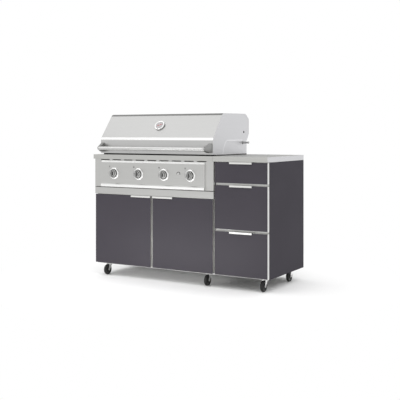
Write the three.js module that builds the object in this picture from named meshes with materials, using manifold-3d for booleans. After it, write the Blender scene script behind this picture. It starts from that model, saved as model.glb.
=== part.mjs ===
import * as THREE from "three";
import { mergeVertices } from "three/addons/utils/BufferGeometryUtils.js";
import Module from "manifold-3d";

const wasm = await Module();
wasm.setup();

// Outdoor kitchen island: a gas grill with a two-door cabinet, and a three-drawer cabinet
// with a worktop beside it, on six swivel casters.
// Millimetres. X runs right from the grill cabinet's left wall, Y runs back from the outer
// faces of the doors and drawers, and Z runs up from the ground.

// Clearances and sheet
const seatGap = 0.3;
const runningGap = 1;
const boreClearance = 0.5;
const cutOverrun = 25;
const cabinetSheet = 1.5;
const grillSheet = 2;

// Overall
const islandDepth = 608;
const worktopHeight = 900;
const worktopEdge = 36;
const worktopReturn = 15;
const grillCabinetWidth = 1016;
const drawerCabinetWidth = 406;
const seamOverlap = 11;
const seamGap = 0.8;
const wallBottom = 85;
const floorHeight = 101.6;
const wallReturn = 22;

// Doors and drawer fronts
const frontThickness = 25.4;
const frontBottom = 93;
const frontStandOff = 3;
const reveal = 16.5;
const doorTopDrop = 296;
const drawerReveal = 15.5;
const drawerTopGap = 3;
const topDrawerHeight = 141;
const weepLength = 24;
const weepWidth = 3;
const weepInset = 60;

// Face frames
const stileWidth = 22;
const frameDepth = 14;
const postWidth = 40;
const drawerRailHeight = 26;
const trayRailRise = 4;
const trayRailHeight = 26;

// Door pivots
const pivotInset = 8;
const pivotPinRadius = 4;
const pivotPinLength = 12;
const pivotPlateThickness = 3;
const pivotPlateHalfWidth = 6;
const pivotPlateGap = 0.5;
const pivotBlockWidth = 20;
const pivotBlockHeight = 18;

// Edge pulls
const pullLength = 170;
const pullSheet = 1.5;
const pullLip = 13;
const pullProud = 8;
const pullSeatDepth = 18;

// Drawer boxes and slides
const boxBackClearance = 60.5;
const boxBottomClearance = 8;
const boxTopClearance = 14;
const slideClearance = 2;
const slideRailWidth = 10;
const slideRailHeight = 30;
const slideChannelWall = 1.5;
const slideEndGap = 22.8;
const slideSetback = 50;

// Drip tray
const trayFrontGap = 3;
const trayFrontHeight = 53;
const trayRunnerRise = 6.5;
const trayRunnerWidth = 40;
const trayRunnerEndGap = 63.5;
const trayPanHeight = 38;
const trayBackClearance = 86.2;
const trayPanInset = 31;

// Back panels
const backLip = 16;
const ventLengthShare = 0.75;
const ventHeight = 8;
const ventEndInset = 208;
const ventCount = 6;
const ventRowDrop = 120;
const gasLineHoleRadius = 22;
const gasLineHoleInset = 110;
const gasLineHoleRise = 75;

// Control panel
const panelEndGap = 10.875;
const panelGap = 2;
const panelTuck = 3;
const panelRecess = 2;
const formedInset = 66;
const formedProud = 10;
const formedTopDrop = 56.5;
const recessDrop = 43;
const shoulderRun = 5;
const shoulderDrop = 1.5;
const lipProud = 18;
const lipRadius = 8;
const lipFlare = 10;
const lipHeight = 18;
const slotCount = 9;
const slotEndInset = 93.5;
const slotLengthShare = 0.75;
const slotHeight = 6;

// Knobs, bezels and valves
const knobCount = 4;
const knobEndInset = 115.3;
const knobRise = 100.5;
const knobRadius = 28;
const knobFaceRadius = 25;
const knobDepth = 24;
const knobChamfer = 2.5;
const knobStandOff = 5;
const knobTravel = 3.5;
const gripWidth = 11;
const gripHeight = 7;
const bezelRadius = 44;
const bezelBore = 31.5;
const bezelHeight = 8;
const bezelBase = 2;
const stemRadius = 4;
const stemFlat = 2.8;
const stemInKnob = 16;
const stemInValve = 8;
const stemHoleRadius = 6;
const lightButtonRadius = 8;
const lightButtonFlange = 11;
const lightButtonProud = 3;
const lightButtonLength = 12;
const lightButtonShift = 13.7;
const lightButtonRise = 9.5;
const lightRingRadius = 12;
const lightRingHeight = 1.5;

// Gas manifold
const manifoldDepth = 46;
const manifoldRadius = 10;
const manifoldEnd = 60;
const valveRadius = 15;
const valveFront = 22;
const nozzleRadius = 5;
const nozzleReach = 64;
const inletDrop = 62;
const inletNutRadius = 15;
const inletNutHeight = 16;
const saddleWidth = 24;
const saddleThickness = 3;

// Firebox
const topFrameOverhang = 22;
const tubFront = 70;
const tubBackInset = 124;
const tubWallDepth = 160;
const tubDepth = 210;
const tubFloorFront = 230;
const tubFloorBack = 330;
const drainLength = 120;
const drainWidth = 50;
const rearWallDrop = 2;
const capBackInset = 52;
const capFrontRise = 30;
const capSlopeRun = 90;
const capCorner = 14;
const lowerLedgeDepth = 88;
const upperLedgeDepth = 32;
const ledgeWidth = 14;
const rackLugDrop = 17;
const rackLugWidth = 20;
const rackLugBackGap = 11;
const rackLugLength = 128;

// Burners, flame tamers, grates and warming rack
const burnerRadius = 12.5;
const burnerWall = 2;
const burnerMouthDepth = 30;
const burnerStart = 60;
const burnerEndGap = 26;
const crossoverWidth = 16;
const crossoverHeight = 12;
const crossoverReach = 40;
const tamerWidth = 130;
const tamerHeight = 38;
const tamerSheet = 1.5;
const tamerTopWidth = 16;
const grateCount = 3;
const grateGap = 4;
const grateBarWidth = 6;
const grateBarHeight = 12;
const grateBarCount = 15;
const rackRodRadius = 3;
const rackRodCount = 4;
const rackTieCount = 5;
const rackTieRadius = 2;

// Hood
const hoodInset = 25;
const hoodFront = 36;
const hoodGap = 12;
const hoodRise = 291;
const hoodLip = 0.5;
const apronShare = 0.33;
const slantStartShare = 0.0515;
const slantStartSet = 4;
const slantEnd = 176;
const slantTopDrop = 7;
const crownStart = 225;
const crownDrop = 3;
const crownBackInset = 54;
const hoodBackInset = 24;
const rearChamferShare = 0.1306;
const rearSkirtShare = 0.457;
const rearLipInset = 28;
const notchShare = 0.3127;
const notchStart = 195;
const notchEnd = 232;
const hingeBackInset = 87;
const hingeDrop = 14;
const hingeEarRadius = 13;
const hingeBoltRadius = 6.5;
const hingeBoltReach = 46;
const hingeBandRadius = 7.5;
const hingeBandLength = 9;
const spitHoleRadius = 6.5;
const spitHoleBackInset = 79;
const spitHoleShare = 0.5326;
const reliefWidth = 7;

// Hood handle and thermometer
const handleRadius = 13;
const handleStandOff = 63;
const handleRise = 35.5;
const bracketDrop = 26.5;
const bracketRise = 32.5;
const bracketWidth = 20;
const bracketInset = 5;
const thermometerRadius = 43;
const thermometerHeight = 12;
const thermometerRim = 5;
const thermometerRecess = 3;
const thermometerStemRadius = 4;
const thermometerStemLength = 60;
const thermometerAlongSlantShare = 0.51;

// Casters
const wheelRadius = 37.5;
const wheelWidth = 21;
const treadCrown = 4;
const wheelHubRadius = 12;
const wheelWebInset = 3;
const wheelRimDepth = 7;
const axleRadius = 4;
const axleHeadRadius = 6.5;
const axleHeadThickness = 3;
const casterTrail = 28;
const forkSheet = 2.5;
const forkSideGap = 1.5;
const forkCrownRadius = 20;
const forkTopWidth = 36;
const forkEndRadius = 8;
const casterPlateWidth = 60;
const casterPlateDepth = 80;
const casterPlateThickness = 3;
const raceRadius = 22;
const raceHeight = 6;
const casterInset = 76;
const casterEdgeInset = 52;
const casterFrontSet = 75;
const casterBackSet = 113;

// Facets round a full turn
const wheelSides = 16;
const knobSides = 20;
const tubeSides = 12;
const rodSides = 6;

// Sizes that follow from those above
const grillCentre = (grillCabinetWidth - reveal / 2) / 2;
const islandWidth = grillCabinetWidth + drawerCabinetWidth;
const carcassFront = frontThickness + frontStandOff;
const carcassBack = islandDepth - cabinetSheet - seatGap;
const carcassTop = worktopHeight - worktopEdge - seatGap;
const floorTop = floorHeight + cabinetSheet;
const doorTop = worktopHeight - doorTopDrop;
const drawerTop = worktopHeight - worktopEdge - drawerTopGap;
const trayFrontBottom = doorTop + trayFrontGap;
const trayFrontTop = trayFrontBottom + trayFrontHeight;
const trayRailTop = trayFrontBottom + trayRailRise;
const trayRunnerTop = trayFrontBottom + trayRunnerRise;
const panelBottom = trayFrontTop + panelGap;
const formedTop = worktopHeight - formedTopDrop;
const recessBottom = worktopHeight - recessDrop;
const tubWallBottom = worktopHeight - tubWallDepth;
const tubBottom = worktopHeight - tubDepth;
const lowerLedge = worktopHeight - lowerLedgeDepth;
const upperLedge = worktopHeight - upperLedgeDepth;
const panelWidth = 2 * (grillCabinetWidth + reveal / 2 - panelEndGap - grillCentre);
const formedWidth = panelWidth - 2 * formedInset;
const slotPitch = (panelWidth - 2 * slotEndInset) / (slotCount - 1);
const slotLength = slotPitch * slotLengthShare;
const knobPitch = (formedWidth - 2 * knobEndInset) / (knobCount - 1);
const knobHeight = panelBottom + knobRise;
const lightButtonOffset = knobPitch + lightButtonShift;
const lightButtonHeight = knobHeight + lightButtonRise;
const ventPitch = (grillCabinetWidth - 2 * ventEndInset) / (ventCount - 1);
const ventLength = ventPitch * ventLengthShare;
const hoodWidth = panelWidth - 2 * hoodInset;
const hoodLeft = grillCentre - hoodWidth / 2;
const hoodRight = grillCentre + hoodWidth / 2;
const tubLeft = hoodLeft + grillSheet + runningGap;
const tubRight = hoodRight - grillSheet - runningGap;
const hoodBack = islandDepth - hoodBackInset;
const crownBack = hoodBack - crownBackInset;
const hingeSetBack = hoodBack - hingeBackInset;
const spitHoleSetBack = hoodBack - spitHoleBackInset;
const capBack = islandDepth - capBackInset;
const tubBack = islandDepth - tubBackInset;
const burnerEnd = tubBack - burnerEndGap;
const rackLugStart = tubBack - rackLugBackGap - rackLugLength;
const boxDepth = carcassBack - boxBackClearance - frontThickness - seatGap;
const hoodBottom = worktopHeight + hoodGap;
const hoodHeight = hoodBottom + hoodRise;
const handleHeight = hoodBottom + handleRise;
const bracketBottom = handleHeight - bracketDrop;
const bracketTop = handleHeight + bracketRise;
const apronTop = hoodBottom + hoodRise * apronShare;
const slantStartRise = hoodRise * slantStartShare;
const slantTop = hoodHeight - slantTopDrop;
const crownHeight = hoodHeight - crownDrop;
const rearChamferDrop = hoodRise * rearChamferShare;
const rearSkirtHeight = hoodBottom + hoodRise * rearSkirtShare;
const spitHoleHeight = hoodBottom + hoodRise * spitHoleShare;
const notchHeight = hoodBottom + hoodRise * notchShare;
const hingeHeight = notchHeight - hingeDrop;
const capTop = notchHeight - runningGap;
const rearWallTop = capTop - rearWallDrop;
const rackLugHeight = capTop - rackLugDrop;
const worktopLeft = grillCabinetWidth - seamOverlap;
const knobXs = Array.from({ length: knobCount }, (_, i) =>
  grillCentre + (i - (knobCount - 1) / 2) * knobPitch);
const leftEnd = Math.min(-topFrameOverhang, hoodLeft - hingeBoltReach);
const frontEnd = Math.min(hoodFront - handleStandOff - handleRadius,
  -(formedProud + knobStandOff + knobDepth + gripHeight));

// Solids

// A closed geometry with its shared points merged, as it is before it is turned or moved.
function welded(geometry) {
  geometry.deleteAttribute("normal");
  geometry.deleteAttribute("uv");
  return mergeVertices(geometry);
}

// A welded geometry as a solid that can be joined to others or cut by them.
function solid(geometry) {
  const build = (triVerts) => new wasm.Manifold(new wasm.Mesh({
    numProp: 3,
    vertProperties: geometry.attributes.position.array,
    triVerts,
  }));
  const faces = Uint32Array.from(geometry.index.array);
  const made = build(faces);
  return made.volume() < 0 ? build(faces.reverse()) : made;
}

function join(solids) {
  return solids.reduce((whole, piece) => whole.add(piece));
}

function cut(body, tools) {
  return tools.reduce((left, tool) => left.subtract(tool), body);
}

// A block between two limits on each axis.
function block([x0, x1], [y0, y1], [z0, z1]) {
  const geometry = welded(new THREE.BoxGeometry(x1 - x0, y1 - y0, z1 - z0));
  geometry.translate((x0 + x1) / 2, (y0 + y1) / 2, (z0 + z1) / 2);
  return solid(geometry);
}

// An outline's own plane and the way it is pushed out, for each axis.
const alongAxis = {
  x: new THREE.Matrix4().makeBasis(
    new THREE.Vector3(0, 1, 0), new THREE.Vector3(0, 0, 1), new THREE.Vector3(1, 0, 0)),
  y: new THREE.Matrix4().makeBasis(
    new THREE.Vector3(1, 0, 0), new THREE.Vector3(0, 0, 1), new THREE.Vector3(0, -1, 0)),
  z: new THREE.Matrix4(),
};

// Pushes an outline from one place to another along an axis: (Y, Z) along X, (X, Z) along Y
// and (X, Y) along Z.
function push(axis, shape, from, to, curveSegments = 4) {
  const geometry = welded(new THREE.ExtrudeGeometry(shape, {
    depth: to - from,
    bevelEnabled: false,
    steps: 1,
    curveSegments,
  }));
  geometry.translate(0, 0, axis === "y" ? -to : from);
  geometry.applyMatrix4(alongAxis[axis]);
  return solid(geometry);
}

function outline(points) {
  return new THREE.Shape(points.map(([u, v]) => new THREE.Vector2(u, v)));
}

// A slot with round ends, centred on a point.
function slotOutline(u, v, length, width, upright = false) {
  const shape = new THREE.Shape();
  const half = (length - width) / 2;
  const [du, dv] = upright ? [0, half] : [half, 0];
  const turn = upright ? Math.PI / 2 : 0;
  shape.absarc(u + du, v + dv, width / 2, turn - Math.PI / 2, turn + Math.PI / 2);
  shape.absarc(u - du, v - dv, width / 2, turn + Math.PI / 2, turn + Math.PI * 1.5);
  return shape;
}

// A round bar along an axis, centred on the other two coordinates in their order.
function rod(axis, radius, from, to, [a, b], sides = tubeSides) {
  const geometry = welded(new THREE.CylinderGeometry(radius, radius, to - from, sides));
  if (axis === "x") geometry.rotateZ(Math.PI / 2);
  if (axis === "z") geometry.rotateX(Math.PI / 2);
  const middle = (from + to) / 2;
  const at = { x: [middle, a, b], y: [a, middle, b], z: [a, b, middle] }[axis];
  geometry.translate(...at);
  return solid(geometry);
}

// A closed outline of [radius, distance] points turned about an axis, half a facet round so
// that a flat faces down. Distance runs along +X for a wheel, and along -Y, towards the
// user, for what stands on a front, which a tilt about X then leans back.
function turned(points, sides, towards, at = [0, 0, 0], tilt = 0) {
  const geometry = welded(new THREE.LatheGeometry(
    points.map(([radius, distance]) => new THREE.Vector2(radius, distance)),
    sides, Math.PI / sides));
  if (towards === "x") geometry.rotateZ(-Math.PI / 2);
  if (towards === "-y") geometry.rotateX(Math.PI);
  geometry.rotateX(tilt);
  geometry.translate(...at);
  return solid(geometry);
}

// The points of an open path moved sideways by a distance, to its left as it runs.
function offsetPath(points, distance) {
  const normals = points.slice(1).map(([u, v], i) => {
    const [du, dv] = [u - points[i][0], v - points[i][1]];
    const length = Math.hypot(du, dv);
    return [-dv / length, du / length];
  });
  return points.map(([u, v], i) => {
    const before = normals[Math.max(i - 1, 0)];
    const after = normals[Math.min(i, normals.length - 1)];
    const scale = distance / (1 + before[0] * after[0] + before[1] * after[1]);
    return [u + (before[0] + after[0]) * scale, v + (before[1] + after[1]) * scale];
  });
}

// The outline of a sheet of one thickness bent along an open path.
function bentSheet(points, thickness) {
  return outline([...points, ...offsetPath(points, thickness).reverse()]);
}

// A folded box with one side open, its wall the same all round.
function foldedBox(xs, ys, zs, wall, open) {
  const inset = ([low, high]) => [low + wall, high - wall];
  const inner = { x: inset(xs), y: inset(ys), z: inset(zs) };
  const side = open[1];
  if (open[0] === "+") inner[side][1] += wall + cutOverrun;
  else inner[side][0] -= wall + cutOverrun;
  return block(xs, ys, zs).subtract(block(inner.x, inner.y, inner.z));
}

// Pieces and groups

const group = new THREE.Group();
const island = new THREE.Group();
island.position.set(-(leftEnd + islandWidth) / 2, -(frontEnd + islandDepth) / 2, 0);
group.add(island);

function finish(color, roughness, metalness) {
  return () => new THREE.MeshStandardMaterial({ color, roughness, metalness });
}

const brushedSteel = finish(0xbebebc, 0.35, 1);
const polishedSteel = finish(0xd8d8d8, 0.15, 1);
const slatePaint = finish(0x565157, 0.5, 0);
const sidePaint = finish(0x4a4a4c, 0.5, 0);
const aluminiumTrim = finish(0xe8e8e8, 0.3, 1);
const galvanised = finish(0x9a9a98, 0.5, 1);
const castIron = finish(0x2c2c2c, 0.8, 0.3);
const brass = finish(0xb08d4a, 0.4, 1);
const blackRubber = finish(0x1c1c1c, 0.85, 0);
const whiteDial = finish(0xf2f2f0, 0.3, 0);

// A named mesh in a group. Its solid is drawn in the island's own places, unless the
// group's copies share one solid drawn about the group's own origin.
function piece(name, body, material, parent = island, local = false) {
  const mesh = body.getMesh();
  const geometry = new THREE.BufferGeometry();
  geometry.setAttribute("position", new THREE.BufferAttribute(mesh.vertProperties, 3));
  geometry.setIndex(new THREE.BufferAttribute(mesh.triVerts, 1));
  const flat = geometry.toNonIndexed();
  if (!local) {
    for (let at = parent; at !== island; at = at.parent) {
      flat.translate(-at.position.x, -at.position.y, -at.position.z);
    }
  }
  flat.computeVertexNormals();
  const made = new THREE.Mesh(flat, material());
  made.name = name;
  parent.add(made);
  return made;
}

function pivot(x, y, z, parent = island) {
  const made = new THREE.Group();
  made.position.set(x, y, z);
  parent.add(made);
  return made;
}

// Cabinets

// One side wall with its top, bottom and rear edges returned inwards. side is 1 for a left
// wall, whose returns point right, and -1 for a right wall.
function sideWall(outerX, side, slideHeights) {
  const span = (from, to) => [outerX + side * from, outerX + side * to].sort((a, b) => a - b);
  const ys = [carcassFront + frameDepth + seatGap, carcassBack];
  const zs = [wallBottom, carcassTop];
  const pan = block(span(0, wallReturn), ys, zs).subtract(block(
    span(cabinetSheet, wallReturn + cutOverrun),
    [ys[0] - cutOverrun, ys[1] - cabinetSheet],
    [zs[0] + cabinetSheet, zs[1] - cabinetSheet]));
  const frontWeb = block(span(0, cabinetSheet), [carcassFront, ys[0] + cabinetSheet], zs);
  return join([pan, frontWeb, ...slideHeights.map((height) => slideChannel(span, height))]);
}

// A slide's channel on its hollow stand-off, for the rail on a drawer box to run in.
function slideChannel(span, height) {
  const mouth = stileWidth + slideClearance + slideRailWidth + cabinetSheet;
  const back = mouth - slideRailWidth - seatGap;
  const halfPocket = slideRailHeight / 2 + seatGap;
  const half = halfPocket + slideChannelWall;
  const start = carcassFront + slideSetback;
  const ys = [start, carcassBack - slideEndGap];
  const cutYs = [ys[0] - cutOverrun, ys[1] + cutOverrun];
  const stock = block(span(cabinetSheet / 2, mouth), ys, [height - half, height + half]);
  const pocketZs = [height - halfPocket, height + halfPocket];
  const pocket = block(span(back, mouth + cutOverrun), cutYs, pocketZs);
  const hollow = block(span(2 * cabinetSheet, back - slideChannelWall), cutYs, pocketZs);
  return cut(stock, [pocket, hollow]);
}

// The welded base: a face frame of channel section round its openings, and the floor with
// its edges turned down and the plates for the casters under it.
function baseFrame([x0, x1], openings, casterSpots) {
  const zs = [wallBottom, carcassTop];
  const sheet = cabinetSheet;
  const grown = ([low, high], by) => [low - by, high + by];
  const frameBack = carcassFront + frameDepth;
  const through = [carcassFront - cutOverrun, frameBack + 2 * cutOverrun];
  const frame = cut(block([x0, x1], [carcassFront, frameBack], zs),
    openings.map(([across, up]) => block(across, through, up)));
  const channel = cut(
    block(grown([x0, x1], -sheet), [carcassFront + sheet, frameBack + cutOverrun],
      grown(zs, -sheet)),
    openings.map(([across, up]) => block(grown(across, sheet), through, grown(up, sheet))));
  const floorYs = [carcassFront + sheet / 2, carcassBack - cabinetSheet - seatGap];
  const floorZs = [wallBottom + sheet + seatGap, floorTop];
  const floor = foldedBox([x0, x1], floorYs, floorZs, sheet, "-z");
  const plates = casterSpots.map(([x, y]) => casterPlate(x, y));
  return join([cut(frame, [channel]), floor, ...plates]);
}

function casterPlate(x, y) {
  const plateBottom = floorHeight - casterPlateThickness;
  const plate = block(
    [x - casterPlateWidth / 2, x + casterPlateWidth / 2],
    [y - casterPlateDepth / 2, y + casterPlateDepth / 2],
    [plateBottom, floorHeight + cabinetSheet / 2]);
  const race = rod("z", raceRadius, plateBottom - raceHeight, floorHeight, [x, y]);
  return plate.add(race);
}

// The plate and pin that a door turns on: upward is 1 under the door and -1 above it.
function pivotPlate(x, plateBottom, upward) {
  const pinY = frontThickness / 2;
  const shape = new THREE.Shape();
  shape.moveTo(x - pivotPlateHalfWidth, carcassFront + cabinetSheet);
  shape.lineTo(x - pivotPlateHalfWidth, pinY);
  shape.absarc(x, pinY, pivotPlateHalfWidth, Math.PI, Math.PI * 2);
  shape.lineTo(x + pivotPlateHalfWidth, carcassFront + cabinetSheet);
  const plateTop = plateBottom + pivotPlateThickness;
  const plate = push("z", shape, plateBottom, plateTop, 2);
  const pinZs = upward > 0
    ? [plateBottom, plateTop + pivotPinLength]
    : [plateBottom - pivotPinLength, plateTop];
  return plate.add(rod("z", pivotPinRadius, ...pinZs, [x, pinY]));
}

// A flat back with lips along its top and bottom edges, vents and a hole for a gas line.
function backPanel([x0, x1], vents) {
  const zs = [wallBottom, carcassTop];
  const holes = [];
  if (vents) {
    const through = [islandDepth - cutOverrun, islandDepth + cutOverrun];
    const middle = (x0 + x1) / 2;
    for (let i = 0; i < ventCount; i += 1) {
      const x = middle + (i - (ventCount - 1) / 2) * ventPitch;
      const vent = slotOutline(x, carcassTop - ventRowDrop, ventLength, ventHeight);
      holes.push(push("y", vent, ...through, 2));
    }
    holes.push(rod("y", gasLineHoleRadius, ...through,
      [x0 + gasLineHoleInset, wallBottom + gasLineHoleRise], knobSides));
  }
  const sheet = cut(block([x0, x1], [islandDepth - cabinetSheet, islandDepth], zs), holes);
  const lipXs = [x0 + wallReturn + seatGap, x1 - wallReturn - seatGap];
  const lipYs = [islandDepth - cabinetSheet - backLip, islandDepth - cabinetSheet / 2];
  const lips = [
    block(lipXs, lipYs, [zs[0], zs[0] + cabinetSheet]),
    block(lipXs, lipYs, [zs[1] - cabinetSheet, zs[1]]),
  ];
  return join([sheet, ...lips]);
}

// Drawers from the top down: the front's bottom and top, and its opening in the face frame.
const lowerDrawerHeight =
  (drawerTop - frontBottom - 2 * drawerReveal - topDrawerHeight) / 2;
const drawerBottoms = [
  drawerTop - topDrawerHeight,
  frontBottom + lowerDrawerHeight + drawerReveal,
  frontBottom,
];
const drawerTops = [drawerTop, drawerBottoms[0] - drawerReveal, drawerBottoms[1] - drawerReveal];
const railOver = (drawerRailHeight - drawerReveal) / 2;
const frameRail = wallBottom + wallReturn;
const drawerOpenings = drawerTops.map((top, i) => [
  i === 2 ? frameRail : drawerBottoms[i] + railOver,
  i === 0 ? carcassTop - wallReturn : top - railOver,
]);
const slideHeights = drawerOpenings.map(([low, high]) => (low + high) / 2);

const grillInner = [cabinetSheet + seatGap, grillCabinetWidth - cabinetSheet - seatGap];
const drawerLeft = grillCabinetWidth + seatGap;
const drawerInner = [
  drawerLeft + cabinetSheet + seatGap,
  islandWidth - cabinetSheet - seatGap,
];
const casterYs = [casterFrontSet, islandDepth - casterBackSet];
const grillCasterXs = [casterInset, grillCabinetWidth - casterInset];
const drawerCasterX = islandWidth - casterEdgeInset;

const doorFrameOpenings = [
  [[grillInner[0] + stileWidth, grillCentre - postWidth / 2],
    [frameRail, trayRailTop - trayRailHeight]],
  [[grillCentre + postWidth / 2, grillInner[1] - stileWidth],
    [frameRail, trayRailTop - trayRailHeight]],
  [[grillInner[0] + stileWidth, grillInner[1] - stileWidth],
    [trayRailTop, carcassTop - wallReturn]],
];
const doorWidth = grillCentre - reveal / 2;
const doorPivotXs = [pivotInset, 2 * grillCentre - pivotInset];
const pivotPlateBottoms = [frontBottom + pivotPlateGap,
  doorTop - pivotPlateGap - pivotPlateThickness];

// A short angle on the wall for the drip tray to run on.
function trayRunner(side, wallX) {
  const span = (from, to) => [wallX + side * from, wallX + side * to].sort((a, b) => a - b);
  const start = carcassFront + frameDepth + seatGap;
  return block(span(cabinetSheet / 2, trayRunnerWidth), [start, carcassBack - trayRunnerEndGap],
    [trayRunnerTop - cabinetSheet, trayRunnerTop]);
}

piece("grill_cabinet_left_wall",
  sideWall(0, 1, []).add(trayRunner(1, 0)), sidePaint);
piece("grill_cabinet_right_wall",
  sideWall(grillCabinetWidth, -1, []).add(trayRunner(-1, grillCabinetWidth)), sidePaint);
piece("grill_cabinet_back", backPanel([0, grillCabinetWidth], true), brushedSteel);
piece("grill_cabinet_base_frame", join([
  baseFrame(grillInner, doorFrameOpenings,
    grillCasterXs.flatMap((x) => casterYs.map((y) => [x, y]))),
  ...doorPivotXs.flatMap((x) => [
    pivotPlate(x, pivotPlateBottoms[0], 1),
    pivotPlate(x, pivotPlateBottoms[1], -1),
  ]),
]), brushedSteel);

piece("drawer_cabinet_left_wall", sideWall(drawerLeft, 1, slideHeights), sidePaint);
piece("drawer_cabinet_right_wall", sideWall(islandWidth, -1, slideHeights), sidePaint);
piece("drawer_cabinet_back", backPanel([drawerLeft, islandWidth], false), brushedSteel);
piece("drawer_cabinet_base_frame", baseFrame(drawerInner,
  drawerOpenings.map((zs) => [[drawerInner[0] + stileWidth, drawerInner[1] - stileWidth], zs]),
  casterYs.map((y) => [drawerCasterX, y])), brushedSteel);

// Worktop: a folded tray turned upside down, with its edges returned under it.
function worktop() {
  const xs = [worktopLeft, islandWidth];
  const ys = [0, islandDepth];
  const bottom = worktopHeight - worktopEdge;
  const pan = block(xs, ys, [bottom, worktopHeight]);
  const inset = ([low, high], by) => [low + by, high - by];
  const hollow = block(inset(xs, grillSheet), inset(ys, grillSheet),
    [bottom + grillSheet, worktopHeight - grillSheet]);
  const mouth = block(inset(xs, worktopReturn), inset(ys, worktopReturn),
    [bottom - cutOverrun, worktopHeight - worktopEdge / 2]);
  return cut(pan, [hollow, mouth]);
}
piece("worktop", worktop(), brushedSteel);

// Firebox: the grill's folded top frame, the tub hung in it, the end caps and rear wall that
// stand on it, and the bolts that the hood turns on.
function firebox() {
  const sheet = grillSheet;
  const xs = [-topFrameOverhang, worktopLeft - seamGap];
  const bottom = worktopHeight - worktopEdge;
  const frame = cut(block(xs, [0, islandDepth], [bottom, worktopHeight]), [
    block([xs[0] + sheet, xs[1] - sheet], [sheet, islandDepth - sheet],
      [bottom + sheet, worktopHeight - sheet]),
    block([worktopReturn, xs[1] - worktopReturn],
      [worktopReturn, islandDepth - worktopReturn],
      [bottom - cutOverrun, worktopHeight - worktopEdge / 2]),
    block([xs[0] - cutOverrun, xs[1] + cutOverrun], [-cutOverrun, carcassFront],
      [bottom - cutOverrun, bottom + panelTuck]),
  ]);

  const rim = worktopHeight - sheet / 2;
  const section = [
    [tubFront, rim], [tubFront, tubWallBottom], [tubFloorFront, tubBottom],
    [tubFloorBack, tubBottom], [tubBack, tubWallBottom], [tubBack, rim],
  ];
  const inner = offsetPath(section, sheet);
  inner[0][1] += cutOverrun;
  inner.at(-1)[1] += cutOverrun;
  const tub = push("x", outline(section), tubLeft, tubRight);
  const cavity = push("x", outline(inner), tubLeft + sheet, tubRight - sheet);
  const rearWall = block([tubLeft, tubRight], [tubBack - sheet, tubBack], [rim, rearWallTop]);

  const cap = new THREE.Shape();
  cap.moveTo(tubFront, rim);
  cap.lineTo(capBack, rim);
  cap.absarc(capBack - capCorner, capTop - capCorner, capCorner, 0, Math.PI / 2);
  cap.lineTo(tubFront + capSlopeRun, capTop);
  cap.lineTo(tubFront, worktopHeight + capFrontRise);
  const caps = [tubLeft, tubRight - sheet].map((x) => push("x", cap, x, x + sheet));

  const insideXs = [tubLeft + sheet / 2, tubRight - sheet / 2];
  const ledge = (height, width) => [
    block(insideXs, [tubFront + sheet / 2, tubFront + sheet + width], [height - sheet, height]),
    block(insideXs, [tubBack - sheet - width, tubBack - sheet / 2], [height - sheet, height]),
  ];
  const shelfTop = knobHeight - burnerRadius - seatGap;
  const burnerShelf = block(insideXs, [burnerEnd - crossoverWidth, tubBack - sheet / 2],
    [shelfTop - sheet, shelfTop]);

  const lugYs = [rackLugStart, rackLugStart + rackLugLength];
  const lugZs = [rackLugHeight - sheet, rackLugHeight];
  const lugs = [
    block([insideXs[0], tubLeft + rackLugWidth], lugYs, lugZs),
    block([tubRight - rackLugWidth, insideXs[1]], lugYs, lugZs),
  ];

  const saddleTop = knobHeight - manifoldRadius - seatGap;
  const saddles = [knobXs[0], knobXs.at(-2)].map((x) => {
    const middle = x + knobPitch / 2;
    return block([middle - saddleWidth / 2, middle + saddleWidth / 2],
      [manifoldDepth - manifoldRadius, tubFront + sheet / 2],
      [saddleTop - saddleThickness, saddleTop]);
  });

  const bolts = [[tubLeft, hoodLeft, -1], [tubRight, hoodRight, 1]].flatMap(([from, at, side]) => {
    const band = (radius, near, far) => rod("x", radius,
      ...[at + side * near, at + side * far].sort((a, b) => a - b), [hingeSetBack, hingeHeight]);
    return [
      band(hingeBoltRadius, (from - at) * side - sheet / 2, hingeBoltReach),
      band(hingeBandRadius, runningGap, runningGap + hingeBandLength),
      band(hingeBandRadius, hingeBoltReach - hingeBandLength, hingeBoltReach),
    ];
  });

  const holes = knobXs.map((x) => rod("y", burnerRadius + boreClearance,
    tubFront - cutOverrun, tubFront + cutOverrun / 2, [x, knobHeight]));
  const drain = block([grillCentre - drainLength / 2, grillCentre + drainLength / 2],
    [(tubFloorFront + tubFloorBack - drainWidth) / 2,
      (tubFloorFront + tubFloorBack + drainWidth) / 2],
    [tubBottom - cutOverrun, tubBottom + cutOverrun]);
  const shell = cut(join([frame, tub, rearWall, ...caps]), [cavity, drain, ...holes]);
  return join([shell, ...ledge(lowerLedge, ledgeWidth), ...ledge(upperLedge, ledgeWidth),
    burnerShelf, ...lugs, ...saddles, ...bolts]);
}
piece("firebox", firebox(), brushedSteel);

// Burners, tamers, grates and rack
function burnerSet() {
  const tubes = knobXs.map((x) => rod("y", burnerRadius, burnerStart, burnerEnd,
    [x, knobHeight]));
  const bores = knobXs.map((x) => rod("y", burnerRadius - burnerWall,
    burnerStart - cutOverrun, burnerStart + burnerMouthDepth, [x, knobHeight]));
  const crossover = block([knobXs[0] - crossoverReach, knobXs.at(-1) + crossoverReach],
    [burnerEnd - crossoverWidth, burnerEnd],
    [knobHeight - crossoverHeight / 2, knobHeight + crossoverHeight / 2]);
  return cut(join([...tubes, crossover]), bores);
}
piece("burner_set", burnerSet(), brushedSteel);

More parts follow.
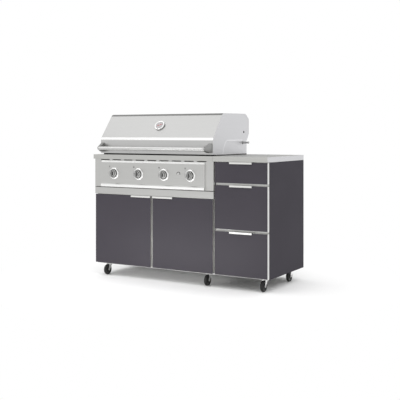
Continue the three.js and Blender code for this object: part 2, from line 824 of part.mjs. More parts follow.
// One flame tamer: a sheet folded like a roof over its burner.
function flameTamer(x) {
  const bottom = lowerLedge + seatGap;
  const path = [
    [x + tamerWidth / 2, bottom], [x + tamerTopWidth / 2, bottom + tamerHeight],
    [x - tamerTopWidth / 2, bottom + tamerHeight], [x - tamerWidth / 2, bottom],
  ];
  const sheet = offsetPath(path, tamerSheet);
  const edge = tamerSheet * Math.hypot(tamerHeight, (tamerWidth - tamerTopWidth) / 2)
    / tamerHeight;
  sheet[0] = [path[0][0] - edge, bottom];
  sheet[3] = [path[3][0] + edge, bottom];
  return push("y", outline([...path, ...sheet.reverse()]),
    tubFront + grillSheet + runningGap, tubBack - grillSheet - runningGap);
}
knobXs.forEach((x, i) => piece(`flame_tamer_${i + 1}`, flameTamer(x), brushedSteel));

// One cooking grate: bars from front to back between ties at both ends and in the middle.
function grate(index) {
  const inside = [tubLeft + grillSheet + grateGap, tubRight - grillSheet - grateGap];
  const width = (inside[1] - inside[0] - (grateCount - 1) * grateGap) / grateCount;
  const left = inside[0] + index * (width + grateGap);
  const ys = [tubFront + grillSheet + runningGap, tubBack - grillSheet - runningGap];
  const bottom = upperLedge + seatGap;
  const barPitch = (width - grateBarWidth) / (grateBarCount - 1);
  const middle = (ys[0] + ys[1]) / 2;
  const rows = [
    [ys[0] + grateBarWidth, middle - grateBarWidth / 2],
    [middle + grateBarWidth / 2, ys[1] - grateBarWidth],
  ];
  const through = [bottom - cutOverrun, bottom + grateBarHeight + cutOverrun];
  const gaps = Array.from({ length: grateBarCount - 1 }, (_, i) => rows.map((row) => block(
    [left + i * barPitch + grateBarWidth, left + (i + 1) * barPitch], row, through)));
  return cut(block([left, left + width], ys, [bottom, bottom + grateBarHeight]), gaps.flat());
}
for (let i = 0; i < grateCount; i += 1) {
  piece(`cooking_grate_${i + 1}`, grate(i), castIron);
}

function warmingRack() {
  const xs = [tubLeft + grillSheet + runningGap, tubRight - grillSheet - runningGap];
  const ys = [rackLugStart + rackRodRadius, rackLugStart + rackLugLength - rackRodRadius];
  const height = rackLugHeight + seatGap + rackRodRadius;
  const rods = Array.from({ length: rackRodCount }, (_, i) => rod("x", rackRodRadius, ...xs,
    [ys[0] + i * (ys[1] - ys[0]) / (rackRodCount - 1), height], rodSides));
  const tieXs = [xs[0] + rackLugWidth + rackTieRadius, xs[1] - rackLugWidth - rackTieRadius];
  const ties = Array.from({ length: rackTieCount }, (_, i) => rod("y", rackTieRadius,
    ys[0], ys[1], [tieXs[0] + i * (tieXs[1] - tieXs[0]) / (rackTieCount - 1), height], rodSides));
  return join([...rods, ...ties]);
}
piece("warming_rack", warmingRack(), polishedSteel);

// Gas manifold: a pipe with a valve and a nozzle for each burner, and the inlet nut.
function gasManifold() {
  const ends = [knobXs[0] - manifoldEnd, knobXs.at(-1) + manifoldEnd];
  const pipe = rod("x", manifoldRadius, ...ends, [manifoldDepth, knobHeight]);
  const valves = knobXs.flatMap((x) => [
    rod("y", valveRadius, valveFront, manifoldDepth, [x, knobHeight]),
    rod("y", nozzleRadius, manifoldDepth, nozzleReach, [x, knobHeight], rodSides),
  ]);
  const bores = knobXs.map((x) => rod("y", stemRadius + boreClearance,
    valveFront - cutOverrun, valveFront + stemInValve + knobStandOff, [x, knobHeight]));
  const inletX = ends[1] - manifoldRadius;
  const inletBottom = knobHeight - inletDrop;
  const inlet = rod("z", manifoldRadius - boreClearance, inletBottom, knobHeight,
    [inletX, manifoldDepth]);
  const nut = rod("z", inletNutRadius, inletBottom, inletBottom + inletNutHeight,
    [inletX, manifoldDepth], rodSides);
  return cut(join([pipe, ...valves, inlet, nut]), bores);
}
piece("gas_manifold", gasManifold(), brass);

// Control panel: a sheet whose middle is pressed forward, with a rolled lip below, vents
// above, and a bezel round each knob.
function controlPanel() {
  const xs = [grillCentre - panelWidth / 2, grillCentre + panelWidth / 2];
  const formedXs = [grillCentre - formedWidth / 2, grillCentre + formedWidth / 2];
  const top = worktopHeight - worktopEdge + panelTuck - seatGap;
  const back = carcassFront - seatGap;
  const sheet = cabinetSheet;
  const lipSteps = [0, 1, 2, 3].map((i) => Math.PI * (1 + i / 6));
  const path = [
    [back, top], [panelRecess, top], [panelRecess, recessBottom],
    [panelRecess - shoulderRun, recessBottom - shoulderDrop], [-formedProud, formedTop],
    [-formedProud, panelBottom + lipHeight + lipFlare],
    [-lipProud, panelBottom + lipHeight],
    ...lipSteps.map((turn) => [
      lipRadius - lipProud + lipRadius * Math.cos(turn),
      panelBottom + lipRadius + lipRadius * Math.sin(turn),
    ]),
    [back, panelBottom],
  ];
  const inner = offsetPath(path, sheet);
  inner[0][0] += cutOverrun;
  inner.at(-1)[0] += cutOverrun;
  const zs = [panelBottom, top];
  const innerZs = [panelBottom + sheet, top - sheet];
  const body = join([
    push("x", outline(path), ...formedXs),
    block([xs[0], formedXs[0] + sheet], [0, back], zs),
    block([formedXs[1] - sheet, xs[1]], [0, back], zs),
  ]);
  const hollows = [
    push("x", outline(inner), formedXs[0] + sheet, formedXs[1] - sheet),
    block([xs[0] + sheet, formedXs[0]], [sheet, back + cutOverrun], innerZs),
    block([formedXs[1], xs[1] - sheet], [sheet, back + cutOverrun], innerZs),
    block([xs[0] + sheet, xs[1] - sheet], [panelRecess + sheet, back + cutOverrun], innerZs),
  ];
  const slots = Array.from({ length: slotCount }, (_, i) => push("y",
    slotOutline(grillCentre + (i - (slotCount - 1) / 2) * slotPitch,
      (recessBottom + top) / 2, slotLength, slotHeight),
    panelRecess - cutOverrun / 2, panelRecess + cutOverrun / 2, 2));
  const worktopNotch = block([worktopLeft - seamGap, xs[1] + cutOverrun],
    [-cutOverrun, back + cutOverrun], [carcassTop, top + cutOverrun]);
  const face = (x, height) => [x, -formedProud, height];
  const through = [-formedProud - cutOverrun, 0];
  const stemHoles = knobXs.map((x) => rod("y", stemHoleRadius, ...through, [x, knobHeight]));
  const lightX = grillCentre + lightButtonOffset;
  const lightHole = rod("y", lightButtonRadius + boreClearance, ...through,
    [lightX, lightButtonHeight]);
  const bezelProfile = [
    [bezelBore, -sheet / 2], [bezelRadius, -sheet / 2], [bezelRadius, bezelBase],
    [bezelRadius - bezelBase, bezelHeight - bezelBase], [(bezelRadius + bezelBore) / 2, bezelHeight],
    [bezelBore + bezelBase / 2, bezelHeight - bezelBase / 2], [bezelBore, -sheet / 2],
  ];
  const bezels = knobXs.map((x) => turned(bezelProfile, knobSides, "-y", face(x, knobHeight)));
  const lightRing = turned([
    [lightButtonRadius + boreClearance, -sheet / 2], [lightRingRadius, -sheet / 2],
    [lightRingRadius, lightRingHeight], [lightButtonRadius + boreClearance, lightRingHeight],
    [lightButtonRadius + boreClearance, -sheet / 2],
  ], tubeSides, "-y", face(lightX, lightButtonHeight));
  return join([cut(body, [...hollows, ...slots, ...stemHoles, lightHole, worktopNotch]),
    ...bezels, lightRing]);
}
piece("control_panel", controlPanel(), brushedSteel);

const lightButton = pivot(grillCentre + lightButtonOffset, -formedProud, lightButtonHeight);
const lightFlangeFront = cabinetSheet + seatGap;
piece("light_button", turned([
  [0, lightButtonProud - lightButtonLength],
  [lightButtonFlange, lightButtonProud - lightButtonLength],
  [lightButtonFlange, -lightFlangeFront],
  [lightButtonRadius, -lightFlangeFront],
  [lightButtonRadius, lightButtonProud],
  [0, lightButtonProud],
], tubeSides, "-y"), blackRubber, lightButton, true);

// One valve stem, flatted where the knob grips it, about the middle of the valve's front.
function valveStem() {
  const tip = -(valveFront + formedProud + knobStandOff + stemInKnob);
  const flat = block([-stemRadius * 2, stemRadius * 2],
    [tip - cutOverrun, tip + stemInKnob + knobTravel], [stemFlat, stemRadius * 2]);
  return rod("y", stemRadius, tip, stemInValve, [0, 0]).subtract(flat);
}

// One knob about the middle of the panel's face behind it: a tapered body with a grip, and a
// flatted bore deep enough for the knob to be pushed in along the stem.
function knob() {
  const front = knobStandOff + knobDepth;
  const body = turned([
    [0, knobStandOff], [knobRadius, knobStandOff], [knobRadius, knobStandOff + knobDepth / 4],
    [knobFaceRadius, front - knobChamfer], [knobFaceRadius - knobChamfer, front], [0, front],
  ], knobSides, "-y");
  const grip = push("y", slotOutline(0, 0, 2 * knobFaceRadius - knobChamfer, gripWidth, true),
    -front - gripHeight, -front + knobChamfer);
  const bore = rod("y", stemRadius + seatGap, -(knobStandOff + stemInKnob + knobTravel), 0,
    [0, 0]);
  const key = block([-stemRadius * 2, stemRadius * 2], [-front, cutOverrun],
    [stemFlat + seatGap, stemRadius * 2]);
  return body.add(grip).subtract(bore.subtract(key));
}

const stemSolid = valveStem();
const knobSolid = knob();
knobXs.forEach((x, i) => {
  const stem = pivot(x, valveFront, knobHeight);
  piece(`valve_stem_${i + 1}`, stemSolid, brass, stem, true);
  const pushing = pivot(0, -valveFront - formedProud, 0, stem);
  piece(`knob_${i + 1}`, knobSolid, polishedSteel, pushing, true);
});

// Hood: one sheet bent over between two side plates, which turn outside the end caps.
const slantStart = [hoodFront + slantStartSet, apronTop + slantStartRise];
const slantEnds = [slantStart, [slantEnd, slantTop]];
const slantTilt = -Math.atan2(slantEnd - slantStart[0], slantTop - slantStart[1]);
const thermometerAt = [grillCentre, ...[0, 1].map((axis) => slantEnds[0][axis]
  + thermometerAlongSlantShare * (slantEnds[1][axis] - slantEnds[0][axis]))];

function hoodShell() {
  const sheet = grillSheet;
  const path = [
    [hoodFront, hoodBottom], [hoodFront, apronTop],
    [hoodFront + slantStartSet / 4, apronTop + slantStartRise / 2], slantStart,
    [slantEnd, slantTop], [crownStart, crownHeight], [crownBack, hoodHeight],
    [hoodBack, hoodHeight - rearChamferDrop], [hoodBack, rearSkirtHeight],
    [hoodBack - rearLipInset, rearSkirtHeight - rearChamferDrop],
  ];
  const band = push("x", bentSheet(path, -sheet), hoodLeft, hoodRight);

  const edge = offsetPath(path, -sheet / 2);
  const sideBottom = hoodBottom + hoodLip;
  const side = new THREE.Shape();
  side.moveTo(edge[0][0], sideBottom);
  side.lineTo(notchStart, sideBottom);
  side.quadraticCurveTo(notchEnd - runningGap, sideBottom + grillSheet, notchEnd, notchHeight);
  side.lineTo(hingeSetBack - hingeEarRadius, notchHeight);
  side.absarc(hingeSetBack, hingeHeight, hingeEarRadius, Math.PI, Math.PI * 2);
  side.lineTo(hingeSetBack + hingeEarRadius, notchHeight);
  side.lineTo(edge.at(-1)[0], notchHeight);
  for (const [y, z] of edge.slice(1).reverse()) side.lineTo(y, z);
  const plates = [
    push("x", side, hoodLeft + hoodLip, hoodLeft + sheet),
    push("x", side, hoodRight - sheet, hoodRight - hoodLip),
  ];

  const across = [hoodLeft - cutOverrun, hoodRight + cutOverrun];
  const holes = [
    rod("x", hingeBoltRadius + boreClearance, ...across, [hingeSetBack, hingeHeight]),
    rod("x", spitHoleRadius, ...across, [spitHoleSetBack, spitHoleHeight]),
    turned([
      [0, -cutOverrun], [thermometerStemRadius + boreClearance, -cutOverrun],
      [thermometerStemRadius + boreClearance, cutOverrun], [0, cutOverrun],
    ], tubeSides, "-y", thermometerAt, slantTilt),
  ];
  const reliefYs = [capBack - capCorner, hoodBack + cutOverrun];
  const reliefZs = [notchHeight - cutOverrun, rearSkirtHeight + reliefWidth];
  const reliefs = [
    block([hoodLeft + sheet, hoodLeft + sheet + reliefWidth], reliefYs, reliefZs),
    block([hoodRight - sheet - reliefWidth, hoodRight - sheet], reliefYs, reliefZs),
  ];
  return cut(join([band.subtract(join(reliefs)), ...plates]), holes);
}

const hood = pivot(grillCentre, hingeSetBack, hingeHeight);
piece("hood", hoodShell(), brushedSteel, hood);

// The handle's tube between two wedge brackets that stand on the apron.
function hoodHandle() {
  const tubeY = hoodFront - handleStandOff;
  const base = hoodFront - seatGap;
  const wedge = new THREE.Shape();
  wedge.moveTo(base, bracketTop);
  wedge.absarc(tubeY, handleHeight, handleRadius, Math.PI / 2, Math.PI * 1.5);
  wedge.lineTo(base, bracketBottom);
  const bracketXs = [hoodLeft + bracketInset, hoodRight - bracketInset - bracketWidth];
  const brackets = bracketXs.map((x) => push("x", wedge, x, x + bracketWidth));
  const tube = rod("x", handleRadius, bracketXs[0] + bracketWidth / 2,
    bracketXs[1] + bracketWidth / 2, [tubeY, handleHeight], knobSides);
  return join([tube, ...brackets]);
}
piece("hood_handle", hoodHandle(), polishedSteel, hood);

piece("thermometer", turned([
  [0, thermometerHeight - thermometerRecess],
  [thermometerRadius - thermometerRim, thermometerHeight - thermometerRecess],
  [thermometerRadius - thermometerRim, thermometerHeight],
  [thermometerRadius - thermometerRecess, thermometerHeight],
  [thermometerRadius, thermometerHeight - thermometerRecess],
  [thermometerRadius, seatGap], [thermometerStemRadius, seatGap],
  [thermometerStemRadius, -thermometerStemLength], [0, -thermometerStemLength],
], knobSides, "-y", thermometerAt, slantTilt), whiteDial, hood);

// A door or drawer front: a hollow slab folded from sheet, with weep slots underneath.
function frontSlab(xs, zs) {
  const inset = ([low, high]) => [low + cabinetSheet, high - cabinetSheet];
  const slab = block(xs, [0, frontThickness], zs);
  const hollow = block(inset(xs), inset([0, frontThickness]), inset(zs));
  const weeps = [xs[0] + weepInset, xs[1] - weepInset].map((x) => block(
    [x - weepLength / 2, x + weepLength / 2],
    [(frontThickness - weepWidth) / 2, (frontThickness + weepWidth) / 2],
    [zs[0] - cutOverrun, zs[0] + cutOverrun]));
  return cut(slab, [hollow, ...weeps]);
}

// A pull hooked over a slab's top edge, from its seat to the lip in front.
function edgePull([x0, x1], slabTop) {
  const top = slabTop + seatGap + pullSheet;
  const path = [[pullSeatDepth, top], [-pullProud, top], [-pullProud, top - pullLip]];
  return push("x", bentSheet(path, pullSheet), x0, x1);
}

// One door about its pivot. side is 1 for a door hung on its left edge, -1 on its right.
function door(pivotX, side) {
  const edge = pivotX - side * pivotInset;
  const span = (from, to) => [edge + side * from, edge + side * to].sort((a, b) => a - b);
  const zs = [frontBottom, doorTop];
  const notchWidth = pivotInset + pivotPlateHalfWidth + boreClearance;
  const notchDepth = 2 * pivotPlateGap + pivotPlateThickness;
  const boreDepth = notchDepth + pivotPinLength + pivotPlateGap;
  const pinY = frontThickness / 2;
  const body = frontSlab(span(0, doorWidth), zs);
  const corner = (edgeZ, up) => {
    const rise = (from, to) => [edgeZ + up * from, edgeZ + up * to].sort((a, b) => a - b);
    return {
      block: block(span(0, pivotBlockWidth), [cabinetSheet / 2, frontThickness],
        rise(0, pivotBlockHeight)),
      cuts: [
        block(span(-cutOverrun, notchWidth),
          [cabinetSheet + boreClearance, frontThickness + cutOverrun],
          rise(-cutOverrun, notchDepth)),
        rod("z", pivotPinRadius + boreClearance, ...rise(0, boreDepth), [pivotX, pinY]),
      ],
    };
  };
  const corners = [corner(zs[0], 1), corner(zs[1], -1)];
  return cut(join([body, ...corners.map((each) => each.block)]),
    corners.flatMap((each) => each.cuts));
}

[["left", 1], ["right", -1]].forEach(([name, side], i) => {
  const hinge = pivot(doorPivotXs[i], frontThickness / 2, frontBottom);
  piece(`${name}_door`, door(doorPivotXs[i], side), slatePaint, hinge);
  const meeting = grillCentre - side * reveal / 2;
  const pullXs = [meeting, meeting - side * pullLength].sort((a, b) => a - b);
  piece(`${name}_door_pull`, edgePull(pullXs, doorTop), aluminiumTrim, hinge);
});

// One drawer box: an open tray with a rail along each side.
function drawerBox([low, high]) {
  const reach = stileWidth + slideClearance + slideRailWidth + cabinetSheet + seatGap;
  const xs = [drawerLeft + reach, islandWidth - reach];
  const ys = [frontThickness + seatGap, frontThickness + seatGap + boxDepth];
  const zs = [low + boxBottomClearance, high - boxTopClearance];
  const middle = (low + high) / 2;
  const railYs = [carcassFront + slideSetback, ys[1]];
  const railZs = [middle - slideRailHeight / 2, middle + slideRailHeight / 2];
  return join([
    foldedBox(xs, ys, zs, cabinetSheet, "+z"),
    block([xs[0] - slideRailWidth, xs[0] + cabinetSheet / 2], railYs, railZs),
    block([xs[1] - cabinetSheet / 2, xs[1] + slideRailWidth], railYs, railZs),
  ]);
}

const drawerFrontXs = [grillCabinetWidth + reveal / 2, islandWidth];
const drawerPullMiddle = (drawerFrontXs[0] + drawerFrontXs[1]) / 2;
["top", "middle", "bottom"].forEach((name, i) => {
  const drawer = pivot(drawerPullMiddle, 0, drawerBottoms[i]);
  const pullXs = [drawerPullMiddle - pullLength / 2, drawerPullMiddle + pullLength / 2];
  piece(`${name}_drawer_front`, frontSlab(drawerFrontXs, [drawerBottoms[i], drawerTops[i]]),
    slatePaint, drawer);
  piece(`${name}_drawer_box`, drawerBox(drawerOpenings[i]), galvanised, drawer);
  piece(`${name}_drawer_pull`, edgePull(pullXs, drawerTops[i]), aluminiumTrim, drawer);
});

// Drip tray: its folded front under the control panel, and the pan behind it.
function dripTray() {
  const frontXs = [grillCentre - panelWidth / 2, grillCentre + panelWidth / 2];
  const front = foldedBox(frontXs, [0, carcassFront - seatGap],
    [trayFrontBottom, trayFrontTop], cabinetSheet, "+y");
  const panBottom = trayRunnerTop + seatGap;
  const pan = foldedBox([trayPanInset, grillCabinetWidth - trayPanInset],
    [0, carcassBack - trayBackClearance], [panBottom, panBottom + trayPanHeight], cabinetSheet, "+z");
  return front.add(pan);
}
const tray = pivot(grillCentre, 0, trayFrontBottom);
piece("drip_tray", dripTray(), brushedSteel, tray);

// Casters, each fork about its swivel axis at the ground and each wheel about its axle.
function casterFork() {
  const crownTop = floorHeight - casterPlateThickness - raceHeight - seatGap;
  const crown = rod("z", forkCrownRadius, crownTop - forkSheet, crownTop, [0, 0]);
  const leg = new THREE.Shape();
  leg.moveTo(forkTopWidth / 2, crownTop - forkSheet / 2);
  leg.lineTo(-forkTopWidth / 2, crownTop - forkSheet / 2);
  leg.lineTo(-casterTrail - forkEndRadius, wheelRadius);
  leg.absarc(-casterTrail, wheelRadius, forkEndRadius, Math.PI, Math.PI * 2);
  leg.lineTo(forkTopWidth / 2, crownTop - raceHeight);
  const inner = wheelWidth / 2 + forkSideGap;
  const outer = inner + forkSheet;
  const legs = [-outer, inner].map((x) => push("x", leg, x, x + forkSheet, 2));
  const axle = rod("x", axleRadius, -outer, outer, [-casterTrail, wheelRadius], rodSides);
  const heads = [-outer - axleHeadThickness, outer - forkSheet / 2].map((x) =>
    rod("x", axleHeadRadius, x, x + axleHeadThickness + forkSheet / 2,
      [-casterTrail, wheelRadius], rodSides));
  return join([crown, ...legs, axle, ...heads]);
}

// The tread's flats lie at the wheel's radius, so it stands on one of them.
function casterWheel() {
  const half = wheelWidth / 2;
  const out = wheelRadius / Math.cos(Math.PI / wheelSides);
  const bore = axleRadius + boreClearance;
  const rim = wheelRadius - wheelRimDepth;
  const side = (x) => [
    [bore, x], [wheelHubRadius, x],
    [rim - wheelWebInset, x - Math.sign(x) * wheelWebInset],
    [out - treadCrown, x], [out, x - Math.sign(x) * treadCrown],
  ];
  const profile = [...side(-half), ...side(half).reverse()];
  return turned([...profile, profile[0]], wheelSides, "x");
}

const forkSolid = casterFork();
const wheelSolid = casterWheel();
const casterSpots = {
  left_front: [grillCasterXs[0], casterYs[0]],
  left_rear: [grillCasterXs[0], casterYs[1]],
  middle_front: [grillCasterXs[1], casterYs[0]],
  middle_rear: [grillCasterXs[1], casterYs[1]],
  right_front: [drawerCasterX, casterYs[0]],
  right_rear: [drawerCasterX, casterYs[1]],
};
for (const [name, [x, y]] of Object.entries(casterSpots)) {
  const swivel = pivot(x, y, 0);
  piece(`${name}_caster_fork`, forkSolid, galvanised, swivel, true);
  const axle = pivot(0, -casterTrail, wheelRadius, swivel);
  piece(`${name}_caster_wheel`, wheelSolid, blackRubber, axle, true);
}

export default group;
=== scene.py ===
import math

import bmesh
import bpy
from mathutils import Matrix, Vector


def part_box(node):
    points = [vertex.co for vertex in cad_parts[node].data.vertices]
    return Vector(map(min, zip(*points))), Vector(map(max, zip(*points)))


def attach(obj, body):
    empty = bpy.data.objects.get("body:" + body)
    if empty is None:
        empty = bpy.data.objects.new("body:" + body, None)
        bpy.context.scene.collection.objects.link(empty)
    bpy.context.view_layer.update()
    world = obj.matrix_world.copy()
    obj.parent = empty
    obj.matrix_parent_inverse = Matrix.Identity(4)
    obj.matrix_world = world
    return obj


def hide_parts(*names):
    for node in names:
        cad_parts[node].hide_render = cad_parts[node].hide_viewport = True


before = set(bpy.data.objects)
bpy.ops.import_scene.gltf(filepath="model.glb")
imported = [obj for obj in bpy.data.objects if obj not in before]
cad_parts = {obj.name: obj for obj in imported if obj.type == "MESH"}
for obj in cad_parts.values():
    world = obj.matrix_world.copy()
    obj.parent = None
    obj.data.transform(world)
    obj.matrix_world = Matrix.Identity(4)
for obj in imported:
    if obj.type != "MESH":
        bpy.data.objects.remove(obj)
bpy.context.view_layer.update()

mm = 0.001


# ---- camera, floor and light

cameraSettings = {
    "place": (2911.3 * mm, -4893.0 * mm, 1058.5 * mm),
    "turn": 30.37,        # degrees to the left of straight on
    "lens": 69.54,
    "shiftY": -0.1671,    # keeps the uprights upright
}

cameraData = bpy.data.cameras.new("camera")
cameraData.sensor_width = 36
cameraData.lens = cameraSettings["lens"]
cameraData.shift_y = cameraSettings["shiftY"]
camera = bpy.data.objects.new("camera", cameraData)
camera.location = cameraSettings["place"]
camera.rotation_euler = (math.radians(90), 0, math.radians(cameraSettings["turn"]))
bpy.context.scene.collection.objects.link(camera)
bpy.context.scene.camera = camera
bpy.context.scene.view_settings.view_transform = "Standard"


def linearColour(hexColour):
    channels = [int(hexColour[i:i + 2], 16) / 255 for i in (1, 3, 5)]
    return [c / 12.92 if c <= 0.04045 else ((c + 0.055) / 1.055) ** 2.4 for c in channels] + [1]


def addNode(tree, kind, settings=None, links=None):
    node = tree.nodes.new(kind)
    for name, value in (settings or {}).items():
        if isinstance(name, str) and hasattr(node, name):
            setattr(node, name, value)
        else:
            node.inputs[name].default_value = value
    for name, source in (links or {}).items():
        tree.links.new(source, node.inputs[name])
    return node


def newMaterial(name):
    material = bpy.data.materials.new(name)
    material.use_nodes = True
    material.node_tree.nodes.clear()
    return material, material.node_tree


# 1 for what the camera sees straight or in a mirroring face, 0 for the light on matt surfaces
def seenOrMirrored(tree):
    rays = addNode(tree, "ShaderNodeLightPath")
    seen = addNode(tree, "ShaderNodeMath", {"operation": "MAXIMUM"},
                   {0: rays.outputs["Is Camera Ray"], 1: rays.outputs["Is Glossy Ray"]})
    return rays, seen


# Metal mirrors a white studio. Matt surfaces get light of their own from the sky, dim at the
# horizon and bright overhead, which keeps the floor under the island about as grey as the
# photo's.
studio = {
    "skyLow": 0.15,              # light on matt surfaces from near the horizon
    "skyHigh": 1.55,             # and from high overhead
    "skyFrom": (0.15, 0.8),      # heights of a ray's direction between which it brightens
    "background": 1.0,           # what the camera and the metal see
    "ceiling": 0.62,             # what the metal sees high overhead
    "ceilingFrom": (0.25, 0.7),  # heights of a ray's direction between which that dims
    "lamps": [
        # name, place, aimed at, size, watts. The low two stand in for light off the floor.
        ("overhead", (-1.3, -0.9, 3.6), (-0.2, -0.1, 1.1), (4.2, 2.6), 24),
        ("bendStrip", (-2.4, -2.9, 3.1), (-0.2, -0.25, 1.0), (3.2, 0.6), 12),
        ("doorBounce", (-0.3, -1.1, 0.09), (-0.3, 0.0, 0.14), (1.3, 0.14), 2.6),
        ("underFill", (-0.2, -0.08, 0.08), (-0.2, -0.08, 0.0), (1.0, 0.35), 0.16),
        ("rightStrip", (3.4, -2.5, 0.95), (0.0, -0.3, 0.8), (0.35, 1.5), 2.5),
    ],
    "floorColour": "#F7F7F7",
    "floorSize": 14.0,
    "floorDrop": 0.5 * mm,      # how far under the wheels it lies
    "floorFade": (0.62, 1.5),   # metres from the middle over which the floor turns plain white
}

world = bpy.data.worlds.new("studio")
bpy.context.scene.world = world
world.use_nodes = True
worldTree = world.node_tree
worldTree.nodes.clear()
rays, seen = seenOrMirrored(worldTree)
seenAll = addNode(worldTree, "ShaderNodeMath", {"operation": "MAXIMUM"},
                  {0: seen.outputs[0], 1: rays.outputs["Is Transmission Ray"]})
upwards = addNode(worldTree, "ShaderNodeTexCoord")
height = addNode(worldTree, "ShaderNodeSeparateXYZ", None,
                 {"Vector": upwards.outputs["Generated"]})
brightening = addNode(worldTree, "ShaderNodeMapRange",
                      {"From Min": studio["skyFrom"][0], "From Max": studio["skyFrom"][1],
                       "To Min": studio["skyLow"], "To Max": studio["skyHigh"]},
                      {"Value": height.outputs["Z"]})
skyLight = addNode(worldTree, "ShaderNodeBackground", None,
                   {"Strength": brightening.outputs["Result"]})
dimming = addNode(worldTree, "ShaderNodeMapRange",
                  {"From Min": studio["ceilingFrom"][0], "From Max": studio["ceilingFrom"][1],
                   "To Min": studio["background"], "To Max": studio["ceiling"]},
                  {"Value": height.outputs["Z"]})
level = addNode(worldTree, "ShaderNodeMath", {"operation": "MAXIMUM"},
                {0: dimming.outputs["Result"], 1: rays.outputs["Is Camera Ray"]})
backdrop = addNode(worldTree, "ShaderNodeBackground", None, {"Strength": level.outputs[0]})
for background in (skyLight, backdrop):
    background.inputs["Color"].default_value = (1, 1, 1, 1)
worldMix = addNode(worldTree, "ShaderNodeMixShader", None,
                   {0: seenAll.outputs[0], 1: skyLight.outputs[0], 2: backdrop.outputs[0]})
addNode(worldTree, "ShaderNodeOutputWorld", None, {"Surface": worldMix.outputs[0]})

for name, place, aim, size, watts in studio["lamps"]:
    lampData = bpy.data.lights.new(name, "AREA")
    lampData.shape = "RECTANGLE"
    lampData.size, lampData.size_y = size
    lampData.energy = watts
    lamp = bpy.data.objects.new(name, lampData)
    lamp.location = place
    lamp.rotation_euler = (Vector(aim) - Vector(place)).to_track_quat("-Z", "Y").to_euler()
    bpy.context.scene.collection.objects.link(lamp)

# Floor: matt white near the island, where it holds the shadow, plain white further out
floorMaterial, tree = newMaterial("seamlessPaper")
coords = addNode(tree, "ShaderNodeTexCoord")
distance = addNode(tree, "ShaderNodeVectorMath", {"operation": "LENGTH"},
                   {0: coords.outputs["Object"]})
fade = addNode(tree, "ShaderNodeMapRange",
               {"From Min": studio["floorFade"][0], "From Max": studio["floorFade"][1]},
               {"Value": distance.outputs["Value"]})
rays, seen = seenOrMirrored(tree)
share = addNode(tree, "ShaderNodeMath", {"operation": "MULTIPLY"},
                {0: fade.outputs["Result"], 1: seen.outputs[0]})
paper = addNode(tree, "ShaderNodeBsdfDiffuse", {"Color": linearColour(studio["floorColour"])})
white = addNode(tree, "ShaderNodeEmission", {"Strength": 1.0})
mixed = addNode(tree, "ShaderNodeMixShader", None,
                {0: share.outputs[0], 1: paper.outputs[0], 2: white.outputs[0]})
addNode(tree, "ShaderNodeOutputMaterial", None, {"Surface": mixed.outputs[0]})

floorMesh = bpy.data.meshes.new("floor")
half = studio["floorSize"] / 2
floorMesh.from_pydata([(-half, -half, 0), (half, -half, 0), (half, half, 0), (-half, half, 0)],
                      [], [(0, 1, 2, 3)])
floor = bpy.data.objects.new("floor", floorMesh)
floor.location.z = -studio["floorDrop"]
floorMesh.materials.append(floorMaterial)
bpy.context.scene.collection.objects.link(floor)
print("camera, floor and light set")


# ---- finishes

def finishedWith(tree, shader):
    addNode(tree, "ShaderNodeOutputMaterial", None, {"Surface": shader.outputs[0]})


# Stainless sheet, belt ground: fine straight lines along the rolling direction, which give
# a soft streaky sheen. The lines are 0.3 mm apart and are drawn at 4 mm, so that they show.
# The other metals use it too, with their own colour, roughness and strength of the lines.
def groundSteel(tree, colour, roughness, along, lineSpacing=4 * mm, lineLength=320 * mm,
                streak=0.05):
    coords = addNode(tree, "ShaderNodeTexCoord")
    scale = [1 / lineSpacing] * 3
    scale["xyz".index(along)] = 1 / lineLength
    mapping = addNode(tree, "ShaderNodeMapping", {"Scale": scale},
                      {"Vector": coords.outputs["Object"]})
    lines = addNode(tree, "ShaderNodeTexNoise", {"Scale": 1.0, "Detail": 3.0, "Roughness": 0.6},
                    {"Vector": mapping.outputs["Vector"]})
    tint = addNode(tree, "ShaderNodeMapRange",
                   {"From Min": 0.3, "From Max": 0.7, "To Min": 1 - streak, "To Max": 1.0},
                   {"Value": lines.outputs["Fac"]})
    shade = addNode(tree, "ShaderNodeMix", {"data_type": "RGBA", "blend_type": "MULTIPLY"})
    shade.inputs["Factor"].default_value = 1.0
    shade.inputs[6].default_value = linearColour(colour)
    tree.links.new(tint.outputs["Result"], shade.inputs[7])
    grain = addNode(tree, "ShaderNodeMapRange",
                    {"From Min": 0.3, "From Max": 0.7, "To Min": roughness - 0.05,
                     "To Max": roughness + 0.06}, {"Value": lines.outputs["Fac"]})
    bump = addNode(tree, "ShaderNodeBump", {"Strength": 0.06, "Distance": 0.2 * mm},
                   {"Height": lines.outputs["Fac"]})
    return addNode(tree, "ShaderNodeBsdfPrincipled", {"Metallic": 1.0},
                   {"Base Color": shade.outputs[2], "Roughness": grain.outputs["Result"],
                    "Normal": bump.outputs["Normal"]})


